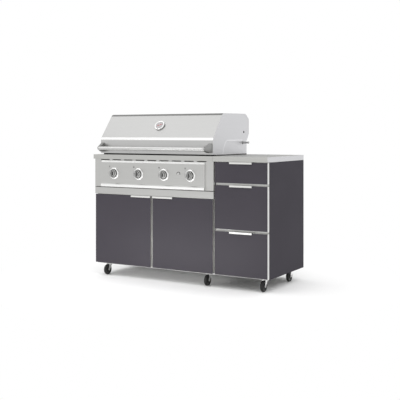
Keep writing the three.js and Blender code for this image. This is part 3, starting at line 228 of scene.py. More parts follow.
# Polyester powder coat, sprayed and baked: satin, with a very fine orange peel of about
# 2 mm between its crests. Ink, enamel, lacquer and nylon use it too, with a finer skin.
def powderCoat(tree, colour, roughness, peel=2 * mm, specular=0.35):
    coords = addNode(tree, "ShaderNodeTexCoord")
    skin = addNode(tree, "ShaderNodeTexNoise", {"Scale": 1 / peel, "Detail": 1.0},
                   {"Vector": coords.outputs["Object"]})
    cloud = addNode(tree, "ShaderNodeTexNoise", {"Scale": 1 / 0.35, "Detail": 2.0},
                    {"Vector": coords.outputs["Object"]})
    tone = addNode(tree, "ShaderNodeMapRange",
                   {"From Min": 0.35, "From Max": 0.65, "To Min": 0.96, "To Max": 1.03},
                   {"Value": cloud.outputs["Fac"]})
    shade = addNode(tree, "ShaderNodeMix", {"data_type": "RGBA", "blend_type": "MULTIPLY"})
    shade.inputs["Factor"].default_value = 1.0
    shade.inputs[6].default_value = linearColour(colour)
    tree.links.new(tone.outputs["Result"], shade.inputs[7])
    bump = addNode(tree, "ShaderNodeBump", {"Strength": 0.05, "Distance": 0.1 * mm},
                   {"Height": skin.outputs["Fac"]})
    return addNode(tree, "ShaderNodeBsdfPrincipled",
                   {"Metallic": 0.0, "Roughness": roughness, "Specular IOR Level": specular},
                   {"Base Color": shade.outputs[2], "Normal": bump.outputs["Normal"]})


# 1 where a face's own normal points along an axis, 0 elsewhere, so that one sheet can be
# finished on one side only. It turns with the piece.
def facing(tree, axis, sign, least=0.7):
    coords = addNode(tree, "ShaderNodeTexCoord")
    parts = addNode(tree, "ShaderNodeSeparateXYZ", None, {"Vector": coords.outputs["Normal"]})
    towards = addNode(tree, "ShaderNodeMath", {"operation": "MULTIPLY", 1: sign},
                      {0: parts.outputs["XYZ".index(axis)]})
    return addNode(tree, "ShaderNodeMath", {"operation": "GREATER_THAN", 1: least},
                   {0: towards.outputs[0]})


finishes = {
    "stainless": "#BFBFBD",
    "worktopStainless": "#BEBEBB",
    "hoodStainless": "#C0C0BF",
    # paler colour painted on faces towards the sides, for the light that falls on them
    "paintedSideLight": "#D6D6D8",
    "polished": "#CACAC9",
    "slatePaint": "#3B373F",
    "sidePanel": "#403D44",
    "slabEdge": "#E2E2E0",
    "pull": "#DCDCDA",
    "galvanised": "#A4A4A2",
    "castIron": "#2B2B2B",
    "brass": "#B5914E",
    "rubber": "#0A0A0A",
    "fork": "#EBEBEA",
    "dial": "#B4B1B2",
    "needle": "#C8282C",
    # heat bloom inside the hood, also used as painted shade in gaps and recesses
    "inside": "#4A4846",
    # with flatTint, the colour of the painted shade on the worktop's top face
    "worktopFlat": "#C6C6C4",
    # paler colour of the hem: a painted highlight along the plates' edge
    "hem": "#E0E0E2",
    "knob": "#8A8A89",
    "knobFlank": "#E6E6E5",
    "knobFlankDepths": (-314, -304),       # mm, where the knobs' light band is
    "gaugeRim": "#A2A2A0",
    "gaugeRing": "#F2F2F1",
    "bezel": "#EDEDEC",
    "bracket": "#9D9D9C",
    "firstBend": "#F0F0EF",
    # painted dark reflection along the hood's crown
    "crownBend": "#8C8C8B",
    # painted highlight on the control panel's upper lip, rolled lower lip and ends
    "panelLip": "#ECECEB",
    "ink": "#262626",
    "wire": "#DADADC",
    "hub": "#0F0F10",
    "rubberBloom": "#121212",
    # grey edge tint, part of the worktop top's painted shade
    "flatTint": "#DADADA",
    "panelShoulder": (800, 900),           # mm, heights of the control panel's upper lip
    "panelRoll": (655, 683),               # heights of its rolled lower lip
    "panelRollDepths": (-300, -290.5),     # and that lip's depths
}

materials = {}


# 1 between two heights, depths or widths in mm, 0 outside them. It moves with the piece.
def between(tree, axis, low, high):
    coords = addNode(tree, "ShaderNodeTexCoord")
    parts = addNode(tree, "ShaderNodeSeparateXYZ", None, {"Vector": coords.outputs["Object"]})
    above = addNode(tree, "ShaderNodeMath", {"operation": "GREATER_THAN", 1: low * mm},
                    {0: parts.outputs["XYZ".index(axis)]})
    below = addNode(tree, "ShaderNodeMath", {"operation": "LESS_THAN", 1: high * mm},
                    {0: parts.outputs["XYZ".index(axis)]})
    return addNode(tree, "ShaderNodeMath", {"operation": "MULTIPLY"},
                   {0: above.outputs[0], 1: below.outputs[0]})


# One shader, and another where a mask like those above is 1
def mixedWhere(tree, where, without, within):
    return addNode(tree, "ShaderNodeMixShader", None,
                   {0: where.outputs[0], 1: without.outputs[0], 2: within.outputs[0]})


def both(tree, one, other):
    return addNode(tree, "ShaderNodeMath", {"operation": "MULTIPLY"},
                   {0: one.outputs[0], 1: other.outputs[0]})


def either(tree, one, other):
    return addNode(tree, "ShaderNodeMath", {"operation": "MAXIMUM"},
                   {0: one.outputs[0], 1: other.outputs[0]})


# Sheet ground along its length, and from front to back at its sides, which are folded or welded
# on.
# Faces towards the sides are painted paler, for light that falls on them; the control panel's ends
# paler still.
# The rest is fitted to the photo and stands in for reflections and shadows: painted shade on the
# worktop's top, a painted highlight on the control panel's lips, and painted shade on its back and
# in gaps and recesses at the heights in `darkHeights`, in mm.
def sheetFinish(name, colour, roughness, shadedTop=False, darkHeights=(), brightLips=False):
    material, tree = newMaterial(name)
    shader = groundSteel(tree, colour, roughness, "x")
    # painted light: faces towards the sides take a paler colour
    ends = groundSteel(tree, finishes["panelLip" if brightLips else "paintedSideLight"], 0.42, "y")
    shader = mixedWhere(tree, either(tree, facing(tree, "X", -1), facing(tree, "X", 1)),
                        shader, ends)
    # Painted shade on the worktop's top faces: a rougher grind with a grey edge tint, which reads
    # darker
    if shadedTop:
        flat = groundSteel(tree, finishes["worktopFlat"], 0.5, "x")
        flat.inputs["Specular Tint"].default_value = linearColour(finishes["flatTint"])
        shader = mixedWhere(tree, facing(tree, "Z", 1), shader, flat)
    # Painted shade on faces towards the back, seen through the vent slots; painted highlight on
    # the upper lip's top and the rolled lower lip
    if brightLips:
        inside = groundSteel(tree, finishes["inside"], 0.55, "x")
        shader = mixedWhere(tree, facing(tree, "Y", 1), shader, inside)
        lip = groundSteel(tree, finishes["panelLip"], 0.6, "x", streak=0.02)
        shoulder = both(tree, facing(tree, "Z", 1, 0.5),
                        between(tree, "Z", *finishes["panelShoulder"]))
        rolled = both(tree, between(tree, "Y", *finishes["panelRollDepths"]),
                      between(tree, "Z", *finishes["panelRoll"]))
        shader = mixedWhere(tree, either(tree, shoulder, rolled), shader, lip)
    # Painted shade in gaps and recesses, between these heights
    for low, high in darkHeights:
        inside = groundSteel(tree, finishes["inside"], 0.55, "x")
        shader = mixedWhere(tree, between(tree, "Z", low, high), shader, inside)
    finishedWith(tree, shader)
    return material


materials["stainless"] = sheetFinish("stainlessSheetGround", finishes["stainless"], 0.34)
# painted shade: a dark line for the shadow of the seam under the control panel
materials["tray"] = sheetFinish("stainlessTrayGround", finishes["stainless"], 0.34,
                                darkHeights=[(656.5, 661)])
materials["worktop"] = sheetFinish("stainlessWorktopGround", finishes["worktopStainless"], 0.36,
                                   shadedTop=True)
# painted shade below the top frame and in the gap under the hood's sides
materials["firebox"] = sheetFinish("stainlessFireboxGround", finishes["worktopStainless"], 0.36,
                                   darkHeights=[(0, 863.5), (900.3, 907)])
# painted shade between 690 and 900 mm
materials["frame"] = sheetFinish("stainlessFrameGround", finishes["stainless"], 0.34,
                                 darkHeights=[(690, 900)])
materials["hood"] = sheetFinish("stainlessHoodGround", finishes["hoodStainless"], 0.32)
materials["panel"] = sheetFinish("stainlessPanelGround", finishes["stainless"], 0.34,
                                 brightLips=True)


def metalFinish(finish, name, roughness, along, streak, **lines):
    material, tree = newMaterial(name)
    finishedWith(tree, groundSteel(tree, finishes[finish], roughness, along, streak=streak,
                                   **lines))
    materials[finish] = material


# The hood's first bend, the same ground sheet. In the photo it runs as a white line, which
# these lights don't give a bend so narrow, so it is paler and smoother here.
metalFinish("firstBend", "stainlessFirstBend", 0.22, "x", 0.02)
# The bend at the crown, drawn darker: a painted dark reflection, for the grey line that the photo
# shows above the slope
metalFinish("crownBend", "stainlessCrownBend", 0.55, "x", 0.03)
# Inside of the hood: mill finish sheet with the brown-grey bloom of heat
metalFinish("inside", "stainlessHeatDulled", 0.5, "x", 0.05)
# Folded hem of the hood's side plates, drawn paler than the plates: a painted highlight for the
# paler line that the photo shows there
metalFinish("hem", "stainlessHemHighlight", 0.3, "z", 0.02)

# Die cast knobs, satin nickel plated: a mid grey metal that darkens away from the light. The
# light band on the right flank is painted in, for a reflection that the photo's knobs have.
material, tree = newMaterial("satinNickelCasting")
flank = both(tree, facing(tree, "X", 1, 0.35), between(tree, "Y", *finishes["knobFlankDepths"]))
finishedWith(tree, mixedWhere(tree, flank,
                              groundSteel(tree, finishes["knob"], 0.3, "z", streak=0.02),
                              groundSteel(tree, finishes["knobFlank"], 0.3, "z", streak=0.02)))
materials["knob"] = material

# Satin nickel of the thermometer's case and the handle's brackets: grey, with soft lights
metalFinish("gaugeRim", "satinNickelRim", 0.2, "z", 0.02)
metalFinish("bracket", "satinNickelBracket", 0.3, "z", 0.02)
# Chrome plated ring of the thermometer: pale, with one wide soft light
metalFinish("gaugeRing", "chromedGaugeRing", 0.28, "z", 0.01)

# Turned and chromed bezels: nearly a mirror, which gives a white arc beside each knob. Their
# left half is plain stainless here, because the photo's arc doesn't run round that far.
material, tree = newMaterial("chromedBezel")
finishedWith(tree, mixedWhere(tree, facing(tree, "X", -1, 0.12),
                              groundSteel(tree, finishes["bezel"], 0.16, "z", streak=0.01),
                              groundSteel(tree, finishes["stainless"], 0.3, "z", streak=0.01)))
materials["bezel"] = material

# Buffed stainless bar and castings: bright, with only a trace of the buffing
metalFinish("polished", "stainlessBuffed", 0.12, "x", 0.02, lineLength=4000 * mm)

# Door and drawer slabs: powder coat on the front, bare ground steel round the edges
material, tree = newMaterial("powderCoatOnSteelSlab")
paint = powderCoat(tree, finishes["slatePaint"], 0.46)
edge = groundSteel(tree, finishes["slabEdge"], 0.30, "z", streak=0.02)
finishedWith(tree, mixedWhere(tree, facing(tree, "Y", -1), edge, paint))
materials["slab"] = material


def paintFinish(finish, name, roughness, **coat):
    material, tree = newMaterial(name)
    finishedWith(tree, powderCoat(tree, finishes[finish], roughness, **coat))
    materials[finish] = material


# The cabinets' side walls: almost the fronts' paint, with less gloss, which keeps them as
# dark at a slant as they are in the photo
paintFinish("sidePanel", "powderCoatSidePanel", 0.62, specular=0.12)

# Extruded aluminium, etched and clear anodised: pale and even, with a soft sheen
metalFinish("pull", "anodisedAluminium", 0.36, "x", 0.015)

# Bright wire, nickel and chrome plated after welding: a sharp, pale shine
metalFinish("wire", "chromePlatedWire", 0.10, "x", 0.01)

# Hot dip galvanised sheet: grey with crystals about 12 mm across that differ in brightness
material, tree = newMaterial("galvanisedSheet")
coords = addNode(tree, "ShaderNodeTexCoord")
crystals = addNode(tree, "ShaderNodeTexVoronoi", {"Scale": 1 / (12 * mm)},
                   {"Vector": coords.outputs["Object"]})
tone = addNode(tree, "ShaderNodeMapRange", {"To Min": 0.86, "To Max": 1.0},
               {"Value": crystals.outputs["Color"]})
shade = addNode(tree, "ShaderNodeMix", {"data_type": "RGBA", "blend_type": "MULTIPLY"})
shade.inputs["Factor"].default_value = 1.0
shade.inputs[6].default_value = linearColour(finishes["galvanised"])
tree.links.new(tone.outputs["Result"], shade.inputs[7])
finishedWith(tree, addNode(tree, "ShaderNodeBsdfPrincipled",
                           {"Metallic": 1.0, "Roughness": 0.48},
                           {"Base Color": shade.outputs[2]}))
materials["galvanised"] = material

# Bright zinc plated pressed steel of the caster forks: pale, with soft lights
metalFinish("fork", "zincPlatedSteel", 0.30, "z", 0.03)

# Sand cast iron with matt porcelain enamel: near black, with the sand's 1.5 mm grain
material, tree = newMaterial("enamelledCastIron")
coords = addNode(tree, "ShaderNodeTexCoord")
sand = addNode(tree, "ShaderNodeTexNoise", {"Scale": 1 / (1.5 * mm), "Detail": 3.0},
               {"Vector": coords.outputs["Object"]})
grain = addNode(tree, "ShaderNodeMapRange", {"To Min": 0.45, "To Max": 0.7},
                {"Value": sand.outputs["Fac"]})
bump = addNode(tree, "ShaderNodeBump", {"Strength": 0.3, "Distance": 0.3 * mm},
               {"Height": sand.outputs["Fac"]})
finishedWith(tree, addNode(tree, "ShaderNodeBsdfPrincipled",
                           {"Base Color": linearColour(finishes["castIron"])},
                           {"Roughness": grain.outputs["Result"],
                            "Normal": bump.outputs["Normal"]}))
materials["castIron"] = material

# Turned brass of the valves and the gas pipe: warm, with turning marks a millimetre apart
metalFinish("brass", "turnedBrass", 0.32, "y", 0.08, lineSpacing=1 * mm, lineLength=60 * mm)

# Moulded rubber tread: black and matt, with a dusty bloom in patches of about 20 mm
material, tree = newMaterial("mouldedRubber")
coords = addNode(tree, "ShaderNodeTexCoord")
bloom = addNode(tree, "ShaderNodeTexNoise", {"Scale": 1 / (20 * mm), "Detail": 4.0},
                {"Vector": coords.outputs["Object"]})
shade = addNode(tree, "ShaderNodeMix", {"data_type": "RGBA"}, {"Factor": bloom.outputs["Fac"]})
shade.inputs[6].default_value = linearColour(finishes["rubber"])
shade.inputs[7].default_value = linearColour(finishes["rubberBloom"])
rough = addNode(tree, "ShaderNodeMapRange", {"To Min": 0.5, "To Max": 0.75},
                {"Value": bloom.outputs["Fac"]})
finishedWith(tree, addNode(tree, "ShaderNodeBsdfPrincipled", None,
                           {"Base Color": shade.outputs[2],
                            "Roughness": rough.outputs["Result"]}))
materials["rubber"] = material

# Nylon wheel centre: moulded, dark and a little shinier than the tread
paintFinish("hub", "mouldedNylon", 0.38, peel=1 * mm)
print("finishes made:", len(materials))


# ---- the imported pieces, dressed

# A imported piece's mesh stays as it is: these only weld it, take out the seams between its
# triangles, break its sharp edges and shade it.
def soften(node, material, edge):
    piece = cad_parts[node]
    piece.data.materials.clear()
    piece.data.materials.append(material)
    weld = piece.modifiers.new("weld", "WELD")
    weld.merge_threshold = 0.01 * mm
    flat = piece.modifiers.new("flat faces", "DECIMATE")
    flat.decimate_type = "DISSOLVE"
    flat.angle_limit = math.radians(0.5)
    if edge:
        bevel = piece.modifiers.new("broken edges", "BEVEL")
        bevel.width = edge
        bevel.segments = 2
        bevel.limit_method = "ANGLE"
        bevel.angle_limit = math.radians(28)
        bevel.use_clamp_overlap = True
        bevel.harden_normals = False
    normals = piece.modifiers.new("flat shading", "WEIGHTED_NORMAL")
    normals.keep_sharp = False
    normals.weight = 100
    for polygon in piece.data.polygons:
        polygon.use_smooth = True


# Which pieces have which finish, and how wide their edges are broken
drawers = ("top", "middle", "bottom")
casters = [side + "_" + end for side in ("left", "middle", "right") for end in ("front", "rear")]
dressing = {
    "stainless": (["grill_cabinet_back", "drawer_cabinet_back",
                   "drawer_cabinet_base_frame", "burner_set",
                   "flame_tamer_1", "flame_tamer_2", "flame_tamer_3", "flame_tamer_4"], 0.5 * mm),
    "tray": (["drip_tray"], 0.5 * mm),
    "panel": (["control_panel"], 0.5 * mm),
    "frame": (["grill_cabinet_base_frame"], 0.5 * mm),
    "worktop": (["worktop"], 0.9 * mm),
    "firebox": (["firebox"], 0.9 * mm),
    "sidePanel": (["grill_cabinet_left_wall", "grill_cabinet_right_wall",
                   "drawer_cabinet_left_wall", "drawer_cabinet_right_wall"], 0.5 * mm),
    "slab": (["left_door", "right_door"] + [d + "_drawer_front" for d in drawers], 0.7 * mm),
    "pull": (["left_door_pull", "right_door_pull"] + [d + "_drawer_pull" for d in drawers],
             0.5 * mm),
    "galvanised": ([d + "_drawer_box" for d in drawers], 0.4 * mm),
    "castIron": (["cooking_grate_1", "cooking_grate_2", "cooking_grate_3"], 1.2 * mm),
    "wire": (["warming_rack"], 0),
    "brass": (["gas_manifold", "valve_stem_1", "valve_stem_2", "valve_stem_3", "valve_stem_4"],
              0.4 * mm),
    "fork": ([c + "_caster_fork" for c in casters], 0.5 * mm),
}
for finish, (nodes, edge) in dressing.items():
    for node in nodes:
        soften(node, materials[finish], edge)
print("packed pieces dressed")


# ---- tools for new pieces

def newPiece(name, mesh, body, finish, smoothAngle=32):
    mesh.materials.append(materials[finish])
    for polygon in mesh.polygons:
        polygon.use_smooth = True
    mesh.set_sharp_from_angle(angle=math.radians(smoothAngle))
    piece = bpy.data.objects.new(name, mesh)
    bpy.context.scene.collection.objects.link(piece)
    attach(piece, body)
    return piece


def meshFrom(build, name):
    mesh = bpy.data.meshes.new(name)
    build.to_mesh(mesh)
    build.free()
    return mesh


# A profile of (radius, distance) turned about an axis through `centre`. Distance runs
# along `direction`.
def turnedMesh(name, profile, centre, direction, sides=64):
    build = bmesh.new()
    rings = []
    for radius, distance in profile:
        if radius < 1e-7:
            rings.append([build.verts.new((0, 0, distance))])
        else:
            rings.append([build.verts.new((radius * math.cos(2 * math.pi * i / sides),
                                           radius * math.sin(2 * math.pi * i / sides), distance))
                          for i in range(sides)])
    for low, high in zip(rings, rings[1:]):
        for i in range(sides):
            j = (i + 1) % sides
            corners = [low[i % len(low)], low[j % len(low)], high[j % len(high)],
                       high[i % len(high)]]
            corners = [c for k, c in enumerate(corners) if c not in corners[:k]]
            if len(corners) > 2:
                build.faces.new(corners)
    bmesh.ops.recalc_face_normals(build, faces=build.faces)
    turn = Vector(direction).to_track_quat("Z", "Y").to_matrix().to_4x4()
    bmesh.ops.transform(build, matrix=Matrix.Translation(centre) @ turn, verts=build.verts)
    return meshFrom(build, name)


# A flat outline pushed out to a thickness, in a plane given by its centre and two directions.
def plateMesh(name, outline, centre, across, up, thickness, edge=0):
    across, up = Vector(across).normalized(), Vector(up).normalized()
    out = across.cross(up)
    build = bmesh.new()
    face = build.faces.new([build.verts.new(Vector(centre) + across * u + up * v)
                            for u, v in outline])
    pushed = bmesh.ops.extrude_face_region(build, geom=[face])
    moved = [v for v in pushed["geom"] if isinstance(v, bmesh.types.BMVert)]
    bmesh.ops.translate(build, vec=out * thickness, verts=moved)
    bmesh.ops.recalc_face_normals(build, faces=build.faces)
    if edge:
        rim = [e for e in build.edges if len(e.link_faces) == 2
               and e.calc_face_angle(0) > math.radians(40)]
        bmesh.ops.bevel(build, geom=rim, offset=edge, segments=3, profile=0.5,
                        affect="EDGES", clamp_overlap=True)
    return meshFrom(build, name)


def arcPoints(centre, radius, start, stop, steps):
    return [(centre[0] + radius * math.cos(math.radians(start + (stop - start) * i / steps)),
             centre[1] + radius * math.sin(math.radians(start + (stop - start) * i / steps)))
            for i in range(steps + 1)]


def middleOf(node):
    low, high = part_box(node)
    return (low + high) / 2


# ---- hood: one bent sheet between two side plates

# Depths here start at the plane of the doors' fronts, and the frame's origin lies behind it
frameOrigin = 281     # mm
bendFacets = 9        # flat steps that draw one bend

# Corners are (depth, height) in mm
hoodForm = {
    "outline": [(36, 909), (36, 1017.9), (178.8, 1199.5), (530, 1203), (584, 1165),
                (584, 1045), (556, 1007)],           # the sheet's outer corners
    "bends": [30, 36, 22, 14, 6],                    # outside radius at each bend
    "sheet": 2.0 * mm,
    "plateInset": 0.6 * mm,                          # how far the plates stand in from the sheet
    "notch": [(186, 909.6), (240, 1003), (484, 1003)],   # the plates' lower edge, to the ear
    "notchBow": (188, 966),                          # pulls its first stretch into a curve
    "ear": (497, 989, 13),                           # hinge bolt's place, and the ear's radius
    "boltHole": 7.0 * mm,                            # radius
    "spitHole": (505, 1067, 9 * mm),                 # place, and radius
    "reliefBelow": 1052,                             # the rear lip is narrower under this
    "relief": 9 * mm,                                # by this much at each end
    "hem": (9 * mm, 0.8 * mm),                       # width, and how far it stands out
}


# From such a depth and height in mm to the frame's Y and Z
def sourcePoint(y, z):
    return ((y - frameOrigin) * mm, z * mm)


# An open path with its corners rounded, each bend drawn with short facets
def roundedPath(points, radii):
    path = [Vector(points[0])]
    for before, corner, after, radius in zip(points, points[1:], points[2:], radii):
        corner = Vector(corner)
        back = (Vector(before) - corner).normalized()
        ahead = (Vector(after) - corner).normalized()
        halfTurn = (math.pi - back.angle(ahead)) / 2
        run = radius * math.tan(halfTurn)
        centre = corner + (back + ahead).normalized() * radius / math.cos(halfTurn)
        start, stop = corner + back * run - centre, corner + ahead * run - centre
        sweep = start.angle_signed(stop)
        for i in range(bendFacets + 1):
            turn = Matrix.Rotation(-sweep * i / bendFacets, 2)
            path.append(centre + turn @ start)
    path.append(Vector(points[-1]))
    return path


# The same path, moved sideways by a distance
def besidePath(path, distance):
    moved = []
    for i, point in enumerate(path):
        before = (point - path[i - 1]).normalized() if i else None
        after = (path[i + 1] - point).normalized() if i < len(path) - 1 else None
        before, after = before or after, after or before
        along = (before + after).normalized()
        side = Vector((along.y, -along.x))
        moved.append(point + side * distance / max(along.dot(before), 0.3))
    return moved


# A sheet of one thickness that follows a path in the (Y, Z) plane, from x0 to x1. Its inner
# faces take the second material, and `skins` gives the bends' outer faces others.
def bentSheetMesh(name, path, thickness, x0, x1, skins=()):
    inner = besidePath(path, thickness)
    build = bmesh.new()
    rows = [[(build.verts.new((x, *p)), build.verts.new((x, *q))) for p, q in zip(path, inner)]
            for x in (x0, x1)]
    for i in range(len(path) - 1):
        (a, b), (c, d) = rows[0][i], rows[0][i + 1]
        (e, f), (g, h) = rows[1][i], rows[1][i + 1]
        outer = build.faces.new([a, e, g, c])
        for bend, skin in skins:
            if 1 <= i - bend * (bendFacets + 1) <= bendFacets:
                outer.material_index = skin
        build.faces.new([b, d, h, f]).material_index = 1
        build.faces.new([a, c, d, b])
        build.faces.new([e, f, h, g])
    for i in (0, -1):
        (a, b), (e, f) = rows[0][i], rows[1][i]
        build.faces.new([a, b, f, e])
    bmesh.ops.recalc_face_normals(build, faces=build.faces)
    return meshFrom(build, name)


# A plate at x, `thickness` towards +X, with round holes through it
def drilledPlate(name, outline, holes, x, thickness):
    build = bmesh.new()
    loops = [outline] + [arcPoints((y, z), radius, 0, 360 * 23 / 24, 23) for y, z, radius in holes]
    edges = []
    for loop in loops:
        verts = [build.verts.new((x, y, z)) for y, z in loop]
        edges += [build.edges.new((verts[i - 1], verts[i])) for i in range(len(verts))]
    filled = bmesh.ops.triangle_fill(build, use_beauty=True, use_dissolve=True, edges=edges)
    faces = [f for f in filled["geom"] if isinstance(f, bmesh.types.BMFace)]
    pushed = bmesh.ops.extrude_face_region(build, geom=faces)
    moved = [v for v in pushed["geom"] if isinstance(v, bmesh.types.BMVert)]
    bmesh.ops.translate(build, vec=(thickness, 0, 0), verts=moved)
    bmesh.ops.recalc_face_normals(build, faces=build.faces)
    return meshFrom(build, name)


def softEdges(piece, width):
    bevel = piece.modifiers.new("broken edges", "BEVEL")
    bevel.width = width
    bevel.segments = 2
    bevel.limit_method = "ANGLE"
    bevel.angle_limit = math.radians(40)
    bevel.harden_normals = True


low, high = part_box("hood")
corners = [sourcePoint(*corner) for corner in hoodForm["outline"]]
path = roundedPath(corners, [radius * mm for radius in hoodForm["bends"]])
split = next(i for i, point in enumerate(path)
             if i > len(path) / 2 and point.y < hoodForm["reliefBelow"] * mm)
joint = Vector((path[split - 1].x, hoodForm["reliefBelow"] * mm))
cover = newPiece("hoodSheet",
                 bentSheetMesh("hoodSheet", path[:split] + [joint], hoodForm["sheet"],
                               low.x, high.x, [(0, 2), (1, 3)]),
                 "hood", "hood")
for finish in ("inside", "firstBend", "crownBend"):
    cover.data.materials.append(materials[finish])
softEdges(cover, 0.5 * mm)
lip = newPiece("hoodRearLip",
               bentSheetMesh("hoodRearLip", [joint] + path[split:], hoodForm["sheet"],
                             low.x + hoodForm["relief"], high.x - hoodForm["relief"]),
               "hood", "hood")
lip.data.materials.append(materials["inside"])

notch = [Vector(sourcePoint(*point)) for point in hoodForm["notch"]]
control = Vector(sourcePoint(*hoodForm["notchBow"]))
curve = [(1 - t) ** 2 * notch[0] + 2 * t * (1 - t) * control + t * t * notch[1]
         for t in (i / 16 for i in range(17))]
earY, earZ, earRadius = hoodForm["ear"]
ear = [Vector(point) for point in
       arcPoints(sourcePoint(earY, earZ), earRadius * mm, 180, 360, 16)]
ear = ([Vector((ear[0].x, notch[2].y))] + ear + [Vector((ear[-1].x, notch[2].y))])
edge = besidePath(path, hoodForm["sheet"] * 0.5)
foot = Vector((edge[-1].x, notch[2].y))
rim = [Vector((edge[0].x, notch[0].y))] + curve + ear + [foot]
plateOutline = rim + [point for point in reversed(edge[1:]) if point.y > notch[2].y + 0.5 * mm
                      or point.x < 0]
holes = [(*sourcePoint(earY, earZ), hoodForm["boltHole"]),
         (*sourcePoint(*hoodForm["spitHole"][:2]), hoodForm["spitHole"][2])]
thickness = hoodForm["sheet"] - hoodForm["plateInset"]
for x, name in ((low.x + hoodForm["plateInset"], "Left"), (high.x - hoodForm["sheet"], "Right")):
    plate = newPiece("hoodPlate" + name,
                     drilledPlate("hoodPlate", plateOutline, holes, x, thickness),
                     "hood", "hood")
    plate.data.materials.append(materials["inside"])
    within = 1 if name == "Left" else -1
    for polygon in plate.data.polygons:
        if polygon.normal.x * within > 0.7:
            polygon.material_index = 1
    softEdges(plate, 0.4 * mm)

# The plates' lower rear edge is hemmed, from the front of the notch to the ear
width, proud = hoodForm["hem"]
hemPath = curve + [Vector((ear[0].x, notch[2].y))]
for x, outwardX, name in ((low.x + hoodForm["plateInset"], -1, "Left"),
                          (high.x - hoodForm["plateInset"], 1, "Right")):
    inner = besidePath(hemPath, -width)
    build = bmesh.new()
    # the hem's section, in shares of its width and of how far it stands out
    section = [(0, 0), (0, 0.75), (0.25, 1), (0.75, 1), (1, 0.5), (1, 0)]
    rows = []
    for p, q in zip(hemPath, inner):
        ring = []
        for share, out in section:
            spot = p.lerp(q, share)
            ring.append(build.verts.new((x + outwardX * proud * out, *spot)))
        rows.append(ring)
    for one, other in zip(rows, rows[1:]):
        for k in range(len(section)):
            n = (k + 1) % len(section)
            build.faces.new([one[k], one[n], other[n], other[k]])
    build.faces.new(rows[0])
    build.faces.new(rows[-1][::-1])
    bmesh.ops.recalc_face_normals(build, faces=build.faces)
    newPiece("hoodHem" + name, meshFrom(build, "hoodHem"), "hood", "hem", 60)
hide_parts("hood")
print("hood made")


# ---- knobs and bezels

knobShape = {
    "skirt": 28 * mm,
    "face": 25 * mm,
    "depth": 24 * mm,
    "standOff": 5 * mm,
    "grip": (47.5 * mm, 11 * mm, 7 * mm),     # length, width and height
    "bezelOuter": 44.4 * mm,
    "bezelInner": 31.2 * mm,
    "bezelHeight": 8.4 * mm,
    "markOffset": (-40 * mm, 49 * mm),        # from the knob's middle
    "markSize": 9.5 * mm,
    "markStroke": 1.9 * mm,
    "markLift": 0.12 * mm,                    # how far the print stands off the panel
    "ring": (17.4 * mm, 20.2 * mm),           # radii of the chromed ring let into the face
}
buttonProud = 3 * mm      # how far the light button stands out of the panel
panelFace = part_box("light_button")[0].y + buttonProud
towardsCook = (0, -1, 0)

# Screen printed ink: near black and flat
paintFinish("ink", "screenPrintedInk", 0.5, peel=0.5 * mm)

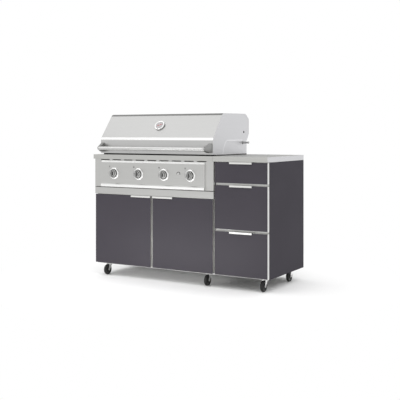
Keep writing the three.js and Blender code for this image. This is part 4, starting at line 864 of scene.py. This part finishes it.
for i in range(1, 5):
    low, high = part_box("knob_%d" % i)
    centre = Vector(((low.x + high.x) / 2, panelFace, (low.z + high.z) / 2))
    back, skirt, face = (knobShape[k] for k in ("standOff", "skirt", "face"))
    front = back + knobShape["depth"]
    profile = [
        (0, back + 0.5 * mm), (skirt - 1.2 * mm, back + 0.5 * mm),
        (skirt, back + 1.7 * mm), (skirt, back + 5.0 * mm), (skirt - 0.6 * mm, back + 6.4 * mm),
        (face + 0.4 * mm, front - 3.2 * mm), (face - 0.6 * mm, front - 1.2 * mm),
        (face - 2.4 * mm, front - 0.2 * mm), (face - 3.4 * mm, front),
        (face - 4.6 * mm, front - 0.5 * mm), (0, front - 0.5 * mm),
    ]
    knob = newPiece("turnedKnob_%d" % i,
                    turnedMesh("turnedKnob", profile, centre, towardsCook, 64),
                    "knob_%d" % i, "knob")
    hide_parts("knob_%d" % i)
    length, width, height = knobShape["grip"]
    reach = (length - width) / 2
    outline = (arcPoints((0, reach), width / 2, 0, 180, 10)
               + arcPoints((0, -reach), width / 2, 180, 360, 10))
    newPiece("knobGrip_%d" % i,
             plateMesh("knobGrip", outline, centre + Vector((0, -front + 1.5 * mm, 0)),
                       (1, 0, 0), (0, 0, 1), height + 1.4 * mm, 1.4 * mm),
             "knob_%d" % i, "knob", 40)
    inner, outer = knobShape["ring"]
    profile = [(inner, front - 0.8 * mm), (inner, front + 0.1 * mm),
               ((inner + outer) / 2, front + 0.6 * mm), (outer, front + 0.1 * mm),
               (outer, front - 0.8 * mm), (inner, front - 0.8 * mm)]
    newPiece("knobRing_%d" % i, turnedMesh("knobRing", profile, centre, towardsCook, 64),
             "knob_%d" % i, "bezel", 60)
    outer, inner, rise = (knobShape[k] for k in ("bezelOuter", "bezelInner", "bezelHeight"))
    profile = [(inner, 0), (inner, rise - 1.4 * mm), (inner + 0.6 * mm, rise - 0.4 * mm),
               (inner + 1.8 * mm, rise), (inner + 6.2 * mm, rise),
               (outer - 2.6 * mm, rise - 1.9 * mm), (outer - 0.8 * mm, rise - 4.2 * mm),
               (outer, rise - 6.4 * mm), (outer, 0)]
    newPiece("bezel_%d" % i, turnedMesh("bezel", profile, centre, towardsCook, 96),
             "island", "bezel", 50)

    # which burner the knob feeds: an outlined square with one filled bar, in plain print
    u, v = knobShape["markOffset"]
    size, stroke = knobShape["markSize"], knobShape["markStroke"]
    spot = centre + Vector((u, 0, v))
    rows = [((-size / 2, -size / 2), (size / 2, -size / 2 + stroke)),
            ((-size / 2, size / 2 - stroke), (size / 2, size / 2)),
            ((-size / 2, -size / 2), (-size / 2 + stroke, size / 2)),
            ((size / 2 - stroke, -size / 2), (size / 2, size / 2))]
    bar = -size / 2 + (i - 0.5) * size / 4
    rows.append(((bar - stroke / 2, -size / 2), (bar + stroke / 2, size / 2)))
    build = bmesh.new()
    for (u0, v0), (u1, v1) in rows:
        build.faces.new([build.verts.new(spot + Vector((u, -knobShape["markLift"], v)))
                         for u, v in ((u0, v0), (u1, v0), (u1, v1), (u0, v1))])
    newPiece("burnerMark_%d" % i, meshFrom(build, "burnerMark"), "island", "ink")
print("knobs and bezels made")


# ---- light button

buttonShape = {
    "radius": 8 * mm,
    "flange": 11 * mm,
    "flangeBack": 9 * mm,       # how far behind the panel's face the body ends
    "flangeFront": 1.9 * mm,    # and how far behind it the flange starts
    "mark": (10.6 * mm, 15.6 * mm, 15),   # inside and outside radius, and how low it reaches
}
buttonAt = middleOf("light_button")
buttonAt.y = panelFace
back, step, radius = (buttonShape[k] for k in ("flangeBack", "flangeFront", "radius"))
profile = [(0, -back), (buttonShape["flange"], -back), (buttonShape["flange"], -step),
           (radius, -step), (radius, buttonProud - 0.8 * mm),
           (radius - 0.8 * mm, buttonProud), (0, buttonProud)]
button = newPiece("lampButton", turnedMesh("lampButton", profile, buttonAt, towardsCook, 48),
                  "light_button", "polished")
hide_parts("light_button")
# A lamp shade's outline, printed on the panel round the button's upper half
inner, outer, below = buttonShape["mark"]
shadeOutline = (arcPoints((0, 0), outer, -below, 180 + below, 24)
                + arcPoints((0, 0), inner, 180 + below, -below, 24))
newPiece("lampMark", plateMesh("lampMark", shadeOutline, buttonAt + Vector((0, -0.02 * mm, 0)),
                               (1, 0, 0), (0, 0, 1), 0.1 * mm),
         "island", "ink")
print("light button made")


# ---- hood handle

handleShape = {
    "radius": 13 * mm,
    "height": 947.5 * mm,         # of the tube's middle
    "tubeSides": 48,
    "bracketTop": 988 * mm,
    "bracketBottom": 921 * mm,
    "heel": 24 * mm,              # how far the bracket's level underside comes forward
    # a bracket's two sides, in from the handle's end: at the hood, and at the tube
    "outerInset": (0, 21 * mm),
    "innerInset": (27 * mm, 40 * mm),
    "tubeInset": 4 * mm,          # how far inside the brackets the tube ends
    "blank": 30 * mm,             # width that a bracket is drawn at before it is tapered
    "edge": 0.8 * mm,
}
low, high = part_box("hood_handle")
tubeY = low.y + handleShape["radius"]
tubeZ = handleShape["height"]
base = high.y
bottom = handleShape["bracketBottom"]
outline = ([(base, handleShape["bracketTop"])]
           + arcPoints((tubeY, tubeZ), handleShape["radius"], 110, 215, 12)
           + [(base - handleShape["heel"], bottom), (base, bottom)])
for x, inwards, name in ((low.x, 1, "Left"), (high.x, -1, "Right")):
    mesh = plateMesh("handleBracket" + name, outline, (0, 0, 0), (0, 1, 0), (0, 0, 1),
                     handleShape["blank"], handleShape["edge"])
    for corner in mesh.vertices:          # the wedge leans inwards and thins towards the tube
        share = (base - corner.co.y) / (base - low.y)
        near, far = (atHood + (atTube - atHood) * share for atHood, atTube in
                     (handleShape["outerInset"], handleShape["innerInset"]))
        across = corner.co.x / handleShape["blank"]
        corner.co.x = x + inwards * (near + (far - near) * across)
    if inwards < 0:
        mesh.flip_normals()
    newPiece("handleBracket" + name, mesh, "hood", "bracket")
length = high.x - low.x - 2 * (handleShape["outerInset"][1] + handleShape["tubeInset"])
radius = handleShape["radius"]
profile = [(0, -length / 2), (radius - 1.5 * mm, -length / 2), (radius, -length / 2 + 2 * mm),
           (radius, length / 2 - 2 * mm), (radius - 1.5 * mm, length / 2), (0, length / 2)]
tube = newPiece("handleTube",
                turnedMesh("handleTube", profile, ((low.x + high.x) / 2, tubeY, tubeZ),
                           (1, 0, 0), handleShape["tubeSides"]),
                "hood", "polished")
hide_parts("hood_handle")


# ---- thermometer on the hood's slope

gaugeShape = {
    "across": -193.8125 * mm,   # the grill's middle
    "slopeFoot": (40, 1023),    # depth and height in mm of the slope's lower end
    "slopeRun": (136, 173),     # and how far it goes back and up from there
    "upSlope": 0.51,            # the gauge's middle, as a share of that
    "radius": 40 * mm,
    "rim": 10 * mm,
    "height": 12 * mm,
    "stemRadius": 4 * mm,
    "stemLength": 60 * mm,
    "ticks": 13,
    "longEvery": 3,             # every third tick is a long one
    "longTick": (0.76, 0.9 * mm),    # where a tick starts, as a share of the dial's radius,
    "shortTick": (0.84, 0.5 * mm),   # and half its width
    "tickEnd": 0.93,
    "tickSpan": 260,            # degrees round the dial
    "needleTurn": 70,           # degrees from upright
    "needle": [(-2.2, -15), (2.2, -15), (1.6, 10), (0.4, 23), (-0.4, 23), (-1.6, 10)],   # mm
    "screws": [(187, 3.8 * mm), (146, 2.8 * mm)],   # degrees round the ring, and radius
}
run, rise = gaugeShape["slopeRun"]
footY, footZ = gaugeShape["slopeFoot"]
share = gaugeShape["upSlope"]
slope = math.atan2(run, rise)                      # the hood's slope from upright
outwards = Vector((0, -math.cos(slope), math.sin(slope)))
upSlope = Vector((0, math.sin(slope), math.cos(slope)))
across = Vector((1, 0, 0))
gaugeAt = Vector((gaugeShape["across"], *sourcePoint(footY + share * run, footZ + share * rise)))


# The direction that a needle at `degrees` from upright points in, and the one beside it
def dialDirections(degrees):
    turn = math.radians(degrees)
    along = upSlope * math.cos(turn) + across * math.sin(turn)
    beside = across * math.cos(turn) - upSlope * math.sin(turn)
    return along, beside


radius, rim, top = (gaugeShape[k] for k in ("radius", "rim", "height"))
stem, tip = gaugeShape["stemRadius"], -gaugeShape["stemLength"]
inner = radius - rim
profile = [
    (0, tip), (stem, tip), (stem, 0.4 * mm), (radius - 1.4 * mm, 0.4 * mm),
    (radius - 0.6 * mm, 1.2 * mm), (radius - 0.6 * mm, 4 * mm),
    (radius - 1.6 * mm, top - 2 * mm), (inner, top - 1.2 * mm), (0, top - 1.2 * mm),
]
gauge = newPiece("gaugeCase", turnedMesh("gaugeCase", profile, gaugeAt, outwards, 96),
                 "hood", "gaugeRim", 40)
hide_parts("thermometer")
profile = [(radius - 1 * mm, 3.4 * mm), (radius, 4 * mm)]
profile += [(radius - 5.2 * mm + 5.2 * mm * math.cos(math.radians(a)),
             top - 4 * mm + 4.6 * mm * math.sin(math.radians(a)))
            for a in range(0, 100, 12)]
profile += [(inner + 1.2 * mm, top - 0.2 * mm), (inner, top - 0.9 * mm),
            (inner + 0.6 * mm, top - 1.4 * mm), (radius - 3 * mm, top - 4 * mm),
            (radius - 1 * mm, 3.4 * mm)]
newPiece("gaugeRing", turnedMesh("gaugeRing", profile, gaugeAt, outwards, 96),
         "hood", "gaugeRing", 50)

# Enamelled tin dial, pale grey and barely shiny, and a needle in red lacquer
paintFinish("dial", "paleEnamelDial", 0.35, peel=1 * mm)
paintFinish("needle", "redLacquer", 0.3, peel=1 * mm)

dialRadius = inner - 0.2 * mm
dialAt = gaugeAt + outwards * (top - 1.2 * mm)
newPiece("gaugeDial", turnedMesh("gaugeDial", [(0, 0), (dialRadius, 0), (dialRadius, 0.4 * mm),
                                               (0, 0.4 * mm)], dialAt, outwards, 72),
         "hood", "dial")
build = bmesh.new()
for i in range(gaugeShape["ticks"]):
    along, beside = dialDirections(-gaugeShape["tickSpan"] / 2
                                   + gaugeShape["tickSpan"] * i / (gaugeShape["ticks"] - 1))
    kind = "shortTick" if i % gaugeShape["longEvery"] else "longTick"
    share, width = gaugeShape[kind]
    corners = [along * dialRadius * share - beside * width,
               along * dialRadius * share + beside * width,
               along * dialRadius * gaugeShape["tickEnd"] + beside * width,
               along * dialRadius * gaugeShape["tickEnd"] - beside * width]
    build.faces.new([build.verts.new(dialAt + outwards * 0.5 * mm + c) for c in corners])
newPiece("dialTicks", meshFrom(build, "dialTicks"), "hood", "ink")

along, beside = dialDirections(gaugeShape["needleTurn"])
needle = [(u * mm, v * mm) for u, v in gaugeShape["needle"]]
newPiece("dialNeedle", plateMesh("dialNeedle", needle, dialAt + outwards * 0.9 * mm,
                                 beside, along, 0.5 * mm), "hood", "needle")
newPiece("needleBoss", turnedMesh("needleBoss", [(0, 0.4 * mm), (3.2 * mm, 0.4 * mm),
                                                 (3.2 * mm, 1.7 * mm), (2.4 * mm, 2.1 * mm),
                                                 (0, 2.1 * mm)], dialAt, outwards, 32),
         "hood", "polished")
head = top + 0.5 * mm
for degrees, size in gaugeShape["screws"]:
    spot = gaugeAt + dialDirections(degrees)[0] * (radius - rim / 2)
    profile = [(0, head - 1.5 * mm), (size, head - 1.5 * mm), (size, head),
               (size - 0.5 * mm, head + 0.4 * mm), (size * 0.45, head + 0.4 * mm),
               (size * 0.45, head - 0.6 * mm), (0, head - 0.6 * mm)]
    newPiece("ringScrew_%d" % degrees, turnedMesh("ringScrew", profile, spot, outwards, 24),
             "hood", "ink")
print("handle and thermometer made")


# ---- hinge bolts' turned ends

# From the hood's side outwards: a collar, a shank with one groove, and a round head
boltShape = {
    "profile": [(0, 0.6), (7.6, 0.6), (8.0, 1.2), (8.0, 9.6), (7.4, 10.2), (6.8, 10.2),
                (6.8, 22), (5.9, 22.4), (5.9, 24.4), (6.8, 24.8), (6.8, 36.6), (7.8, 36.8),
                (8.0, 37.4), (8.0, 45.2), (7.0, 46.1), (0, 46.1)],   # (radius, distance) in mm
}
low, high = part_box("hood")
profile = [(radius * mm, distance * mm) for radius, distance in boltShape["profile"]]
for x, outwardX, name in ((low.x, -1, "Left"), (high.x, 1, "Right")):
    newPiece("hingeBolt" + name,
             turnedMesh("hingeBolt", profile, (x, *sourcePoint(earY, earZ)),
                        (outwardX, 0, 0), 40),
             "island", "polished")
print("hinge bolts made")


# ---- casters

wheelShape = {
    "radius": 37.5 * mm,
    "width": 21 * mm,
    "rim": 29 * mm,          # where the rubber meets the nylon
    "hub": 12 * mm,
    "bore": 4.6 * mm,
}
half = wheelShape["width"] / 2
radius, rim, hub, bore = (wheelShape[k] for k in ("radius", "rim", "hub", "bore"))
flank = [(rim, half - 0.8 * mm), (rim + 2.5 * mm, half - 0.2 * mm), (radius - 4.5 * mm, half),
         (radius - 1.6 * mm, half - 1.6 * mm), (radius - 0.3 * mm, half - 4.2 * mm)]
tread = [(r, -d) for r, d in flank] + [(radius, 0)] + flank[::-1]
side = [(bore, half), (hub, half), (hub + 1.5 * mm, half - 2.4 * mm),
        (hub + 4 * mm, half - 3.4 * mm), (rim - 5 * mm, half - 3.4 * mm),
        (rim - 2 * mm, half - 1.2 * mm), (rim + 0.2 * mm, half - 0.9 * mm)]
wheelCentre = [(r, -d) for r, d in side] + side[::-1] + [(bore, -half)]
for caster in casters:
    centre = middleOf(caster + "_caster_wheel")
    tyre = newPiece("tyre_" + caster, turnedMesh("tyre", tread, centre, (1, 0, 0), 72),
                    caster + "_caster_wheel", "rubber", 50)
    newPiece("wheelCentre_" + caster,
             turnedMesh("wheelCentre", wheelCentre, centre, (1, 0, 0), 64),
             caster + "_caster_wheel", "hub", 40)
    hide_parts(caster + "_caster_wheel")
print("casters made")
